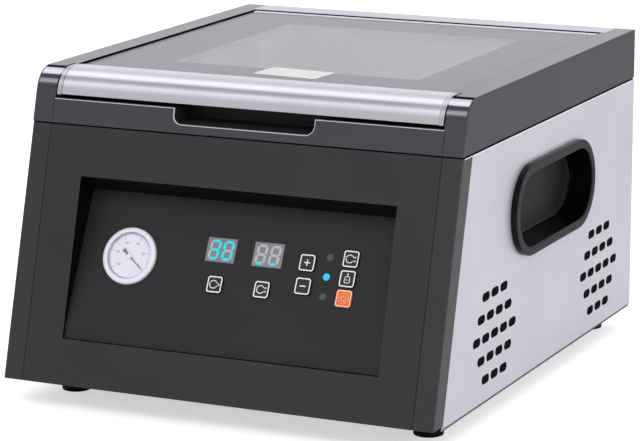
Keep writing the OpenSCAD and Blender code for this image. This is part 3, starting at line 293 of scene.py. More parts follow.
# ---------------------------------------------------------------- looks
LOOKS = {
    # painted and bright sheet metal, and strips of painted highlight and painted shade for the side panels'
    # edges
    "paint": surface("dark_paint", tones(0.0305, 0.0355, LILAC), 0.42, scale=1500, bump=0.10, spec=0.26),
    "paint_upper": surface("dark_paint_upper", tones(0.056, 0.064, LILAC), 0.45, scale=1500, bump=0.08,
                           spec=0.15),
    "rail_top": surface("dark_paint_top", tones(0.040, 0.047, LILAC), 0.26, scale=1500, bump=0.05,
                        spec=0.40, coat=0.5),
    "cheek": surface("dark_paint_cheek", tones(0.034, 0.039, LILAC), 0.38, scale=1500, bump=0.08, spec=0.30),
    "silver": surface("satin_steel", tones(0.62, 0.685, PANEL_TINT), 0.42, metallic=0.6,
                      stretch=LONG_Y, scale=1300, bump=0.05, depth=0.00002, aniso=0.3),
    # dark strip of painted shade along the foot of the side panels
    "foot_shade": surface("painted_foot_shade", tones(0.030, 0.042, LILAC), 0.45, metallic=0.3, bump=0.05),
    # light strip of painted highlight along the side panels' top edge
    "top_edge_highlight": surface("painted_top_edge_highlight", tones(0.86, 0.92, LILAC), 0.45, metallic=0.1, scale=1500, bump=0.03),
    "rear_steel": surface("rear_steel", tones(0.60, 0.67, LILAC), 0.42, metallic=0.7,
                          stretch=SHORT_X, scale=1300, bump=0.05, depth=0.00002),
    "cover": surface("cover_aluminium", tones(0.72, 0.80, COVER_TINT), 0.30, metallic=0.95,
                     stretch=LONG_X, scale=1500, bump=0.04, depth=0.00002),
    "nose": nose_metal_painted_bands(),
    # lid
    "bar": surface("brushed_aluminium", tones(0.77, 0.83, BAR_TINT), 0.15, metallic=1.0,
                   stretch=LONG_X, scale=1500, bump=0.04, depth=0.00002, aniso=0.3),
    "cap": surface("cap_aluminium", tones(0.62, 0.70, LILAC), 0.24, metallic=1.0, bump=0.05),
    "border": surface("lid_frame_grey", tones(0.036, 0.046, BORDER_TINT), 0.70, large=20, bump=0.03,
                      spec=0.05),
    "glass": clear("clear_glass", (0.92, 0.95, 0.99), ior=1.42),
    "glass_print": surface("glass_print", tones(0.195, 0.215, GLASS_PRINT_TINT), 0.6, large=20,
                           bump=0.02, spec=0.1),
    "gap_wall": surface("lid_edge_alloy", tones(0.40, 0.48, LILAC), 0.5, metallic=0.1, bump=0.03),
    "trim": surface("trim_aluminium", tones(0.93, 0.97, LILAC), 0.35, metallic=0.5,
                    stretch=SHORT_X, scale=1300, bump=0.04),
    # light strip of painted highlight along the front strip's top edge and round the finger notch
    "edge": surface("painted_edge_highlight", tones(0.90, 0.96, LILAC), 0.35, metallic=0.3, scale=1500, bump=0.03),
    "label": surface("blank_label", ((0.74, 0.73, 0.67), (0.80, 0.79, 0.73)), 0.45, scale=500, large=60,
                     bump=0.1),
    # dark plastic, rubber, and black painted shade for recesses, gaps and openings
    "black": surface("black_plastic", tones(0.0095, 0.013), 0.40, scale=2200, bump=0.10, spec=0.35,
                     edge_wear_and_highlight=0.03),
    "cup": surface("cup_plastic", tones(0.0160, 0.0200, LILAC), 0.55, scale=2200, bump=0.12, spec=0.18,
                   edge_wear_and_highlight=0.04),
    "cup_gloss": surface("cup_rim_gloss", tones(0.0020, 0.0032), 0.16, scale=1800, bump=0.03, spec=0.15),
    "pocket": surface("pocket_plastic", tones(0.022, 0.026), 0.55, scale=1800, bump=0.2, spec=0.3),
    # near black: painted shade on the walls of the control panel's recess and on the base pan
    "lining": surface("recess_lining", tones(0.0012, 0.002), 0.6, scale=1800, bump=0.2, spec=0.12),
    # near black: painted shade in gaps, slots and steps
    "black_shade": surface("painted_black_shade", tones(0.0006, 0.0012), 0.8, bump=0.3, spec=0.05),
    "rubber": surface("black_rubber", tones(0.010, 0.016), 0.62, scale=1200, bump=0.3),
    "foot": surface("foot_rubber", tones(0.0025, 0.0045), 0.6, scale=1200, bump=0.3, spec=0.15),
    # controls
    "film": surface("panel_film", tones(0.0165, 0.0205, LILAC), 0.46, scale=2600, bump=0.05, spec=0.32),
    "key": surface("key_black", tones(0.004, 0.011), 0.16, scale=300, large=120, bump=0.02, coat=0.3),
    "print": surface("white_print", tones(0.84, 0.91), 0.45, scale=2500, bump=0.05),
    "orange": surface("key_orange", ((0.73, 0.105, 0.014), (0.86, 0.152, 0.025)), 0.30, scale=400,
                      large=90, bump=0.04),
    "orange_edge": surface("key_orange_edge", ((0.93, 0.56, 0.33), (0.97, 0.66, 0.44)), 0.35, bump=0.04),
    "display": surface("display_face", ((0.225, 0.215, 0.222), (0.275, 0.262, 0.270)), 0.38, scale=1500,
                       bump=0.03, spec=0.3),
    "seg_off": surface("segment_off", tones(0.46, 0.54), 0.35, scale=1500, bump=0.03, spec=0.3),
    "seg_on": glowing("segment_lit", (0.0, 0.72, 0.86)),
    "lamp_off": surface("lamp_off", tones(0.075, 0.095), 0.5, scale=600, bump=0.02, spec=0.25),
    "lamp_on": glowing("lamp_lit", (0.01, 0.56, 0.90), large=200),
    # gauge
    "bezel": surface("gauge_bezel_silver", tones(0.86, 0.92, LILAC), 0.34, metallic=0.2, scale=1500,
                     bump=0.04),
    "dial": surface("gauge_dial_white", tones(0.84, 0.90, DIAL_TINT), 0.5, scale=1500, bump=0.03),
    # grey ring of painted shade round the edge of the dial
    "dial_edge_shade": surface("painted_dial_edge_shade", tones(0.46, 0.54, LILAC), 0.4, metallic=0.3, scale=1500, bump=0.02),
    "ink": surface("dial_ink", tones(0.22, 0.28, LILAC), 0.5, scale=1500, bump=0.02),
    "needle": surface("needle_metal", tones(0.20, 0.27, LILAC), 0.4, metallic=0.3, bump=0.02),
    "lens": clear("gauge_glass", (0.97, 0.98, 0.99), alpha=0.12),
    # inside
    "steel": surface("stainless", tones(0.56, 0.66), 0.30, metallic=1.0, stretch=SHORT_Y, scale=1200,
                     bump=0.06, depth=0.00002),
    "cast": surface("cast_aluminium", tones(0.42, 0.52), 0.5, metallic=0.9, scale=700, bump=0.35),
    "motor": surface("motor_paint", tones(0.028, 0.05), 0.4),
    "brass": surface("brass", ((0.62, 0.42, 0.16), (0.72, 0.52, 0.22)), 0.28, metallic=1.0, scale=800,
                     bump=0.08),
    "white": surface("white_plastic", tones(0.74, 0.80), 0.42, bump=0.08),
    "nylon": surface("nylon", ((0.62, 0.60, 0.52), (0.70, 0.68, 0.60)), 0.5, bump=0.1),
    "board": surface("circuit_board", ((0.008, 0.085, 0.035), (0.018, 0.15, 0.065)), 0.32, scale=350,
                     large=200, bump=0.25),
    "silicone": surface("silicone_red", ((0.52, 0.075, 0.035), (0.62, 0.10, 0.05)), 0.5),
    "tape": surface("woven_tape", ((0.30, 0.17, 0.075), (0.42, 0.26, 0.13)), 0.45, scale=1600, bump=0.5),
    "copper": surface("transformer", ((0.10, 0.055, 0.03), (0.30, 0.15, 0.07)), 0.45, metallic=0.4,
                      scale=500, bump=0.3),
}

# the CAD nodes that wear each look
LOOK_NODES = {
    "paint": "front_panel", "paint_upper": "upper_frame", "cheek": "front_cheek_left front_cheek_right",
    "silver": "side_panel_left side_panel_right", "rear_steel": "rear_panel", "cover": "rear_cover lid_trim",
    # the recess walls and the base pan wear black painted shade
    "cup": "handle_cup_left handle_cup_right", "pocket": "finger_pocket", "lining": "base_pan control_bezel",
    "foot": "feet", "film": "control_panel", "display": "displays", "lamp_off": "indicator_lamps",
    "key": "key_vacuum_time key_seal_time key_plus key_minus key_seal key_marinate", "orange": "key_start",
    "bezel": "gauge_bezel", "dial": "gauge_dial", "needle": "gauge_needle", "lens": "gauge_lens",
    "glass": "lid_glass", "border": "lid_frame", "bar": "lid_bar", "cap": "bar_caps",
    "silicone": "seal_pad", "tape": "heating_band", "white": "filler_plates", "motor": "pump_motor",
    "cast": "lift_cylinders seal_bar pump_heads", "brass": "vacuum_port", "nylon": "board_spacers",
    "steel": "foot_screws gauge_case chamber_tub pump_bracket lid_hinge",
    "rubber": "pump_dampers vacuum_hose gauge_hose lid_gasket", "board": "control_board power_board",
    "black": "solenoid_valve fan_frame fan_rotor inlet_socket power_switch switch_rocker",
    "copper": "transformer",
}
for look, nodes in LOOK_NODES.items():
    for node in nodes.split():
        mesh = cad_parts[node].data
        mesh.materials.clear()
        mesh.materials.append(LOOKS[look])


# ---------------------------------------------------------------- making a piece
def piece(name, shape, look, body, replaces=(), smooth=None, bevel=0.0):
    """Makes a mesh piece from points in mm and faces, and lets it ride on a body."""
    verts, faces = shape
    mesh = bpy.data.meshes.new(name)
    mesh.from_pydata([tuple(c / 1000.0 for c in v) for v in verts], [], [tuple(f) for f in faces])
    bm = bmesh.new()
    bm.from_mesh(mesh)
    bmesh.ops.remove_doubles(bm, verts=bm.verts, dist=1e-6)
    bmesh.ops.recalc_face_normals(bm, faces=bm.faces)
    bm.to_mesh(mesh)
    bm.free()
    ob = bpy.data.objects.new(name, mesh)
    scene.collection.objects.link(ob)
    mesh.materials.append(LOOKS[look])
    if bevel:
        soften(ob, bevel)
    if smooth is not None:
        for face in mesh.polygons:
            face.use_smooth = True
        sharp_edges(mesh, smooth)
    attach(ob, body)
    if replaces:
        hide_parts(*replaces)


def sharp_edges(mesh, degrees):
    """Keeps the edges hard where two faces meet at more than an angle."""
    bm = bmesh.new()
    bm.from_mesh(mesh)
    for edge in bm.edges:
        if len(edge.link_faces) == 2 and edge.calc_face_angle(0.0) > math.radians(degrees):
            edge.smooth = False
    bm.to_mesh(mesh)
    bm.free()


def soften(ob, width):
    """A small round on the hard edges, as a modifier."""
    m = ob.modifiers.new("round", "BEVEL")
    m.width, m.segments, m.limit_method = width / 1000.0, 2, "ANGLE"
    m.angle_limit = math.radians(38.0)
    m.harden_normals = False
    m.use_clamp_overlap = True


# ---------------------------------------------------------------- solids: each is (points, faces)
def loft(rings, closed_ends=True):
    """Quads between rings of equal length, with flat ends or none."""
    verts = [p for r in rings for p in r]
    n = len(rings[0])
    faces = []
    for i in range(len(rings) - 1):
        for j in range(n):
            k = (j + 1) % n
            faces.append((i * n + j, i * n + k, (i + 1) * n + k, (i + 1) * n + j))
    if closed_ends:
        faces.append(tuple(reversed(range(n))))
        faces.append(tuple(range(len(verts) - n, len(verts))))
    return verts, faces


def along_x(section, x0, x1):
    """Carries a section in Y and Z from one X to another."""
    return loft([[(x, y, z) for y, z in section] for x in (x0, x1)])


def lathe(profile, place, steps, close=False):
    """Turns (radius, height) pairs; close joins the last pair to the first."""
    verts, faces, n = [], [], len(profile)
    for i in range(steps):
        a = 2 * math.pi * i / steps
        verts += [place(r * math.cos(a), r * math.sin(a), z) for r, z in profile]
    for i in range(steps):
        k = (i + 1) % steps
        for j in range(n if close else n - 1):
            m = (j + 1) % n
            faces.append((i * n + j, k * n + j, k * n + m, i * n + m))
    return verts, faces


def prism(outline, z0, z1, place=at_row):
    """A flat outline between two heights."""
    n = len(outline)
    verts = [place(x, y, z) for z in (z0, z1) for x, y in outline]
    faces = [tuple(range(n))[::-1], tuple(range(n, 2 * n))]
    faces += [(j, (j + 1) % n, n + (j + 1) % n, n + j) for j in range(n)]
    return verts, faces


def ring(outer, inner, z0, z1, place=at_row):
    """A flat ring between two outlines of equal length."""
    n = len(outer)
    verts = [place(x, y, z) for z in (z0, z1) for pts in (outer, inner) for x, y in pts]
    faces = []
    for j in range(n):
        k = (j + 1) % n
        faces.append((2 * n + j, 2 * n + k, 3 * n + k, 3 * n + j))
        faces.append((j, n + j, n + k, k))
        faces.append((j, k, 2 * n + k, 2 * n + j))
        faces.append((n + j, 3 * n + j, 3 * n + k, n + k))
    return verts, faces


def stroke(points, width, z0, z1, place, closed=False):
    """A drawn line of even width as a thin solid."""
    n = len(points)
    left, right = [], []
    for i in range(n):
        before = Vector(points[(i - 1) % n] if closed or i else points[0])
        after = Vector(points[(i + 1) % n] if closed or i < n - 1 else points[-1])
        way = (after - before).normalized()
        half = Vector((-way.y, way.x)) * width / 2
        at = Vector(points[i])
        left.append(tuple(at + half))
        right.append(tuple(at - half))
    if closed:
        return ring(left, right, z0, z1, place)
    return prism(left + right[::-1], z0, z1, place)


def sweep(path, section, place):
    """Carries a section of (side step, height) pairs along an open path, mitred at its corners."""
    rings = []
    for i, at in enumerate(path):
        here = Vector(at)
        before = here - Vector(path[max(i - 1, 0)])
        after = Vector(path[min(i + 1, len(path) - 1)]) - here
        before = before.normalized() if before.length else after.normalized()
        after = after.normalized() if after.length else before
        out = Vector((before.y + after.y, -before.x - after.x)).normalized()
        out /= max(0.5, out.dot(Vector((before.y, -before.x))))
        rings.append([place(here.x + out.x * step, here.y + out.y * step, z) for step, z in section])
    return loft(rings)


def join(shapes):
    """Several solids as one shape."""
    verts, faces = [], []
    for more_verts, more_faces in shapes:
        start = len(verts)
        verts += list(more_verts)
        faces += [tuple(i + start for i in face) for face in more_faces]
    return verts, faces


# ---------------------------------------------------------------- outlines
def rect(x0, x1, y0, y1):
    return [(x0, y0), (x1, y0), (x1, y1), (x0, y1)]


def arc(r, a0, a1, steps, centre=(0, 0)):
    """Points of an arc, from one angle to another in degrees."""
    turns = [math.radians(a0 + (a1 - a0) * i / steps) for i in range(steps + 1)]
    return [(centre[0] + r * math.cos(a), centre[1] + r * math.sin(a)) for a in turns]


def circle(r, steps):
    return arc(r, 0, 360, steps)[:-1]


def round_rect(w, h, r):
    x, y = w / 2 - r, h / 2 - r
    corners = (((x, y), 0), ((-x, y), 90), ((-x, -y), 180), ((x, -y), 270))
    return [p for centre, start in corners for p in arc(r, start, start + 90, 6, centre)]


def stadium(length, h, steps=18):
    """An oval with straight sides and half-round ends."""
    r, c = h / 2, (length - h) / 2
    turns = [math.radians(180 * i / steps) for i in range(steps + 1)]
    return [(c + r * math.sin(a), r * math.cos(a)) for a in turns] + \
           [(-c - r * math.sin(a), -r * math.cos(a)) for a in turns]


# ---------------------------------------------------------------- lid
PROUD = 0.06                                            # how far a thin skin stands over its face


def bar_line(inset):
    """Section line of the lid's bar in Y and Z, from its rear top round the nose to its foot."""
    steps = 28
    r = NOSE_R - inset
    line = [(BAR_REAR - inset, TOP - inset)]
    for i in range(steps + 1):
        a = math.pi / 2 + (math.pi / 2 - RAKE) * i / steps
        line.append((NOSE_Y + r * math.cos(a), NOSE_Z + r * math.sin(a)))
    return line + [(front_y(BAR_Z) + inset / math.cos(RAKE), BAR_Z)]


def lid_bar():
    """The bright bar along the front of the lid, with a small round at its foot and at its ends."""
    wall, edge = 2.0, 0.25
    outer, inner = bar_line(0.0), bar_line(wall)
    foot_y = outer[-1][0]
    foot = [(foot_y + 0.12, BAR_Z + 0.4), (foot_y + 0.45, BAR_Z), (inner[-1][0], BAR_Z)]
    section = outer[:-1] + foot + inner[:-1][::-1]
    end = LID_X - BAR_CAP_W - edge
    rings = []
    for x, pull in ((-end, edge), (edge - end, 0.0), (end - edge, 0.0), (end, edge)):
        rings.append([(x, y + (pull / 2 if y < NOSE_Y else 0), z - (pull if z > NOSE_Z else 0))
                      for y, z in section])
    piece("bar_shell", loft(rings), "bar", "lid", replaces=("lid_bar",), smooth=30)


def lid_glass():
    """The glass plate, and the grey print inside it all round the clear window."""
    front, rear, edge = BAR_REAR + 0.2, LID_REAR - 2.5, GLASS_X - 0.15
    plate = prism(rect(edge, -edge, rear, front), GLASS_Z + 0.05, GLASS_TOP)
    piece("glass_plate", plate, "glass", "lid", replaces=("lid_glass",), bevel=0.2)
    middle, window_middle, margin = (front + rear) / 2, sum(WINDOW_Y) / 2, 0.8
    outline = [(x, y + middle) for x, y in round_rect(2 * edge - margin, rear - front - margin, 0.5)]
    window = [(x, y + window_middle)
              for x, y in round_rect(2 * WINDOW_X, WINDOW_Y[1] - WINDOW_Y[0], 3.0)]
    border = ring(outline, window, GLASS_Z + 0.35, GLASS_Z + 0.45)
    piece("glass_border_print", border, "glass_print", "lid")


def lid_side(side, tag):
    """Cap and outer face of a side of the lid, and a black sheet of painted shade in the gap beside it."""
    front, rear = BAR_REAR + 0.3, LID_REAR - 0.2
    cap = rect(side * GLASS_X, side * (LID_SIDE - 0.25), front, rear)
    piece("lid_side_cap_" + tag, prism(cap, GLASS_TOP - 0.6, GLASS_TOP + PROUD), "rail_top", "lid")
    face = rect(side * (LID_SIDE - 0.24), side * (LID_SIDE + PROUD), front, rear)
    piece("lid_side_face_" + tag, prism(face, TOP - 2.6, GLASS_TOP + 0.04), "gap_wall", "lid")
    # a black sheet of painted shade on the ledge's inner face, in the gap beside the lid
    shade_sheet = rect(side * (LEDGE_X - 0.22), side * (LEDGE_X + PROUD), BAR_REAR + 0.8, LID_REAR + 2.0)
    piece("rail_gap_shade_" + tag, prism(shade_sheet, TOP - 2.15, TOP + 0.02), "black_shade", "housing")


def lid_trim():
    """Bright trim that caps the rear edge of the glass, and a black sheet of painted shade in the gap on the
    cover behind it.
    """
    top, low, seat = GLASS_TOP + 0.5, GLASS_Z + 0.1, GLASS_TOP + 0.02
    section = ((0.0, low), (0.0, top - 0.3), (0.3, top), (4.8, top), (5.1, top - 0.25), (5.1, seat),
               (2.35, seat), (2.35, low))
    end = LID_SIDE - 0.1
    trim = along_x([(LID_REAR - ahead, z) for ahead, z in section], -end, end)
    piece("lid_trim_cap", trim, "trim", "lid", replaces=("lid_trim",))
    # a black sheet of painted shade in the gap between the lid and the rear cover
    end = RAIL_X - 0.4
    shade_sheet = prism(rect(end, -end, COVER_Y - 0.45, COVER_Y + 0.05), TOP - 3.0, TOP - 0.05)
    piece("rear_gap_shade", shade_sheet, "black_shade", "housing")


def blank_label():
    """Blank label near the front of the glass, stuck on a little askew."""
    at, turn = (9.8, -90.0), math.radians(-5.0)
    size, corner = (55, 33), 0.8

    def place(x, y, z):
        return (at[0] + x * math.cos(turn) - y * math.sin(turn),
                at[1] + x * math.sin(turn) + y * math.cos(turn), GLASS_TOP + z)
    piece("blank_label", prism(round_rect(*size, corner), 0.02, 0.14, place), "label", "lid")


lid_bar()
lid_glass()
for side, tag in SIDES:
    lid_side(side, tag)
lid_trim()
blank_label()


# ---------------------------------------------------------------- upper frame
def nose_arc(e0, e1, out, steps=20):
    """Points of the nose round between two elevations of its normal, in degrees."""
    return arc(NOSE_R + out, 180 - e0, 180 - e1, steps, (NOSE_Y, NOSE_Z))


SKIN, SKIN_Y = -0.8, 0.83                               # depth of the nose pieces, square and along Y
FULL_X, LIP_X = SIDE_X - 1.2, RAIL_X - 0.05
# name, elevations, how far it stands out, from x, to x, look
NOSE_STRIPS = (("rail_nose_", 70.0, 21.0, 0.22, RAIL_X - 0.9, FULL_X, "nose"),
               ("nose_lip_", 70.0, 51.0, 0.12, RAIL_X - 1.8, LIP_X, "nose"),
               # black strip of painted shade where the rail's top steps down to the nose
               ("nose_step_shade_", 81.5, 70.4, 0.10, RAIL_X + 0.1, FULL_X, "black_shade"))


def rail_nose(side, tag):
    """Painted reflection bands and lips of a rail's metal nose, a black strip of painted shade where its top
    steps down, and the dark foot below them beside the bar.
    """
    for name, e0, e1, out, x0, x1, look in NOSE_STRIPS:
        section = nose_arc(e0, e1, out) + nose_arc(e1, e0, SKIN)
        piece(name + tag, along_x(section, side * x0, side * x1), look, "housing", smooth=40)
    e0, e1, foot_y = 20.8, 15.6, front_y(STRIP_Z)
    section = nose_arc(e0, e1, 0.0, 4) + [(foot_y, STRIP_Z), (foot_y + SKIN_Y, STRIP_Z)]
    section += nose_arc(e1, e0, SKIN, 4)
    foot = along_x(section, side * (RAIL_X - 0.9), side * LIP_X)
    piece("nose_foot_" + tag, foot, "paint_upper", "housing", smooth=40)


def rail_top(side, tag):
    """Glossy top of a rail and of its ledge."""
    high, low, rear, e0 = TOP + 0.1, TOP - 0.4, REAR_Y - 0.7, 82.0
    rail = nose_arc(e0, 90.0, 0.1, 4) + [(rear, high), (rear, low)] + nose_arc(90.0, e0, -0.6, 4)
    ledge = rect(BAR_REAR + 0.8, LID_REAR + 2.0, high, low)
    shape = join([along_x(rail, side * (RAIL_X + 0.12), side * (SIDE_X - 0.35)),
                  along_x(ledge, side * (LEDGE_X + 0.1), side * (RAIL_X + 0.11))])
    piece("rail_top_" + tag, shape, "rail_top", "housing", smooth=40)


def strip_edge_highlight():
    """Painted highlight on the edge of the front strip: a light line along its top and round the finger
    notch.
    """
    corner = (NOTCH_R - NOTCH_W / 2, STRIP_S - NOTCH_H + NOTCH_R)
    path = [(0.6 - RAIL_X, STRIP_S), (-NOTCH_W / 2, STRIP_S)] + arc(NOTCH_R, 180, 270, 10, corner)
    path += [(-x, y) for x, y in path[::-1]]
    section = ((0.55, 0.02), (0.35, 0.20), (-0.20, -0.45), (-0.20, -0.75), (0.55, -0.5))
    piece("strip_edge_highlight", sweep(path, section, on_front), "edge", "housing")


for side, tag in SIDES:
    rail_nose(side, tag)
for side, tag in SIDES:
    rail_top(side, tag)
strip_edge_highlight()

# ---------------------------------------------------------------- gauge
SCALE_START, SCALE_SWEEP = -38, 256                     # in degrees
INK_Z, FIGURE_Z = (0.61, 0.64), 0.63                    # heights over the face of the panel


def on_scale(r, part):
    """A point of the dial, by radius and by share of the scale."""
    a = math.radians(SCALE_START + SCALE_SWEEP * part)
    return (r * math.cos(a), r * math.sin(a))


def gauge_ring(place):
    """The rounded bezel of the gauge."""
    front = [(18.5, 2.9), (18.55, 3.05), (18.9, 3.2), (20.2, 3.2), (21.0, 3.12), (21.7, 2.85), (22.2, 2.35),
             (22.45, 1.6), (22.5, 0.6)]
    back = [(22.5, 0.05), (19.1, 0.05), (19.1, 1.2), (18.9, 2.6)]
    piece("gauge_ring", lathe(front + back, place, 120, close=True), "bezel", "housing",
          replaces=("gauge_bezel",), smooth=45)


def dial_ticks(place):
    """Scale of the dial, and a grey ring of painted shade where the dial meets the bezel's inner wall."""
    steps, long, middle, short = 40, (13.9, 0.34), (15.0, 0.2), (15.9, 0.13)
    ticks = []
    for i in range(steps + 1):
        r, width = long if i % 8 == 0 else middle if i % 4 == 0 else short
        ticks.append(stroke([on_scale(r, i / steps), on_scale(17.2, i / steps)], width, *INK_Z, place))
    ticks.append(stroke(circle(17.35, 90), 0.22, *INK_Z, place, closed=True))
    piece("dial_ticks", join(ticks), "ink", "housing")
    # grey ring of painted shade where the dial meets the bezel
    piece("dial_edge_shade", stroke(circle(18.0, 90), 0.9, *INK_Z, place, closed=True), "dial_edge_shade", "housing")


def figure(text, size, at, place):
    """A plain number as a thin solid."""
    curve = bpy.data.curves.new("figure", "FONT")
    curve.body, curve.size, curve.align_x, curve.align_y = text, size, "CENTER", "CENTER"
    curve.extrude = 0.015                               # half its thickness
    ob = bpy.data.objects.new("figure", curve)
    scene.collection.objects.link(ob)
    bpy.context.view_layer.update()
    mesh = ob.evaluated_get(bpy.context.evaluated_depsgraph_get()).to_mesh()
    verts = [place(at[0] + p.co.x, at[1] + p.co.y, p.co.z) for p in mesh.vertices]
    faces = [tuple(p.vertices) for p in mesh.polygons]
    ob.to_mesh_clear()
    bpy.data.objects.remove(ob)
    return verts, faces


def dial_numbers():
    """The plain numbers of the scale."""
    place = on_panel(GAUGE, FIGURE_Z)
    numbers = [figure(str(20 * i), 3.0, on_scale(11.2, i / 5), place) for i in range(6)]
    piece("dial_numbers", join(numbers), "ink", "housing")


on_gauge = on_panel(GAUGE)
gauge_ring(on_gauge)
dial_ticks(on_gauge)
dial_numbers()
hub = lathe([(0.0, 2.0), (1.4, 1.97), (1.9, 1.82), (2.0, 1.5), (2.0, 1.25), (0.0, 1.25)], on_gauge, 40)
piece("needle_hub", hub, "dial", "gauge_needle", smooth=50)

# ---------------------------------------------------------------- displays
LIT = {"3": "abcdg", "0": "abcdef", "_": "d"}
DIGIT_X = (-5.6, 5.6)
DIGIT_W, DIGIT_H, BAR_T, BAR_GAP, SLANT = 6.8, 13.6, 2.0, 0.22, 0.09
SEGMENT_Z = (-0.39, -0.3)


def segment(kind, at):
    """One bar of a seven segment digit, pointed at both ends."""
    x, y = DIGIT_W / 2, DIGIT_H / 2
    middle = {"a": (0, y), "g": (0, 0), "d": (0, -y), "f": (-x, y / 2), "b": (x, y / 2),
              "e": (-x, -y / 2), "c": (x, -y / 2)}[kind]
    lies = kind in "adg"
    end, t = ((DIGIT_W if lies else y) - 2 * BAR_GAP) / 2, BAR_T / 2
    line = [(-end, 0), (-end + t, t), (end - t, t), (end, 0), (end - t, -t), (-end + t, -t)]
    if not lies:
        line = [(-b, a) for a, b in line]
    return [(at + middle[0] + a + SLANT * (middle[1] + b), middle[1] + b) for a, b in line]


def display(index, centre, digits):
    """The lit and the unlit segments of a two-digit display."""
    on, off = [], []
    for at, digit in zip(DIGIT_X, digits):
        for kind in "abcdefg":
            solid = prism(segment(kind, at), *SEGMENT_Z, on_panel(centre))
            (on if kind in LIT[digit] else off).append(solid)
    piece(f"segments_lit_{index}", join(on), "seg_on", "housing")
    piece(f"segments_off_{index}", join(off), "seg_off", "housing")


display(0, DISPLAYS[0], "30")
display(1, DISPLAYS[1], "__")

# ---------------------------------------------------------------- domes over the indicator lamps
DOME_R, DOME_H, DOME_Z, LIT_LAMP = 2.8, 0.35, -0.08, 1
dome = [(0.0, DOME_Z), (DOME_R, DOME_Z)]
for elevation in range(10, 91, 10):
    a = math.radians(elevation)
    dome.append((DOME_R * math.cos(a), DOME_Z + DOME_H * math.sin(a)))
for i, at in enumerate(LAMPS):
    look = "lamp_on" if i == LIT_LAMP else "lamp_off"
    piece(f"lamp_dome_{i}", lathe(dome, on_panel(at), 40), look, "housing", smooth=60)

# ---------------------------------------------------------------- keys: outline and generic sign of each
SIGN_LOW, SIGN_TOP = KEY_TOP + 0.01, KEY_TOP + 0.05
OVER = 0.01                                             # how far a shape that crosses another stands over it


def key_sign(name, place):
    """The sign on a key, as thin solids on its face."""
    def line(points, width, over=0.0, closed=False):
        return stroke(points, width, SIGN_LOW, SIGN_TOP + over, place, closed)

    def patch(points, over=0.0):
        return prism(points, SIGN_LOW, SIGN_TOP + over, place)

    if name == "key_plus":
        return [patch(rect(-2.5, 2.5, -0.42, 0.42)), patch(rect(-0.42, 0.42, 0.43, 2.5)),
                patch(rect(-0.42, 0.42, -2.5, -0.43))]
    if name == "key_minus":
        return [patch(rect(-2.5, 2.5, -0.45, 0.45))]
    if name == "key_marinate":
        jar = [(-1.3, 0.9), (-2.1, 0.2), (-2.1, -2.6), (-1.6, -3.1)]
        jar += [(-x, y) for x, y in jar[::-1]]
        return [line(jar, 0.5), line([(-2.0, 1.6), (2.0, 1.6)], 0.5), line([(-1.2, -0.9), (1.2, -0.9)], 0.4),
                patch([(0, 4.4), (-0.75, 3.1), (-0.4, 2.6), (0.4, 2.6), (0.75, 3.1)])]
    if name == "key_start":
        return [line(arc(2.1, 125, 415, 28), 0.5), line([(0, 0.6), (0, 2.7)], 0.5, OVER),
                line(circle(4.0, 40), 0.32, closed=True)]
    bag = line(arc(3.0, 42, 318, 30, (-0.9, 0)), 0.62)
    if name == "key_vacuum_time":
        neck = [line([(1.2, 2.0 * s), (3.2, 0.7 * s), (4.2, 0.0)], 0.45) for s in (1, -1)]
        return [bag] + neck + [patch([(3.3, -0.75), (4.9, 0.0), (3.3, 0.75)], OVER)]
    neck = [line([(1.3, 2.0 * s), (2.7, 1.2 * s)], 0.5) for s in (1, -1)]
    arrows = [patch([(3.4, 0.45 * s), (3.4 + 0.6 * s, 2.0 * s), (3.4 - 0.6 * s, 2.0 * s)], OVER)
              for s in (1, -1)]
    return [bag] + neck + arrows


for name, at in KEYS.items():
    look = "orange_edge" if name == "key_start" else "print"
    outer, inner = round_rect(KEY_W - 0.5, KEY_H - 0.5, 1.9), round_rect(KEY_W - 2.3, KEY_H - 2.3, 1.2)
    piece(name + "_outline", ring(outer, inner, SIGN_LOW, SIGN_TOP, on_panel(at)), look, name)
    piece(name + "_sign", join(key_sign(name, on_panel(at))), look, name)

# ---------------------------------------------------------------- hand cups
CUP_Y, CUP_Z, CUP_L, CUP_H = 22.0, 150.1, 176, 72
CUP_FACE, CUP_FLOOR = SIDE_X + 5.3, SIDE_X - 17.7
CUP_SEAT = SIDE_X + 0.02


def ovals(side, profile, end=False):
    """Ovals of the hand cup through (inset, x) pairs; end closes the last one."""
    rings = []
    for inset, x in profile:
        oval = stadium(CUP_L - 2 * inset, CUP_H - 2 * inset)
        rings.append([(side * x, CUP_Y + y, CUP_Z + z) for y, z in oval])
    verts, faces = loft(rings, closed_ends=False)
    if end:
        faces.append(tuple(range(len(verts) - len(rings[0]), len(verts))))
    return verts, faces


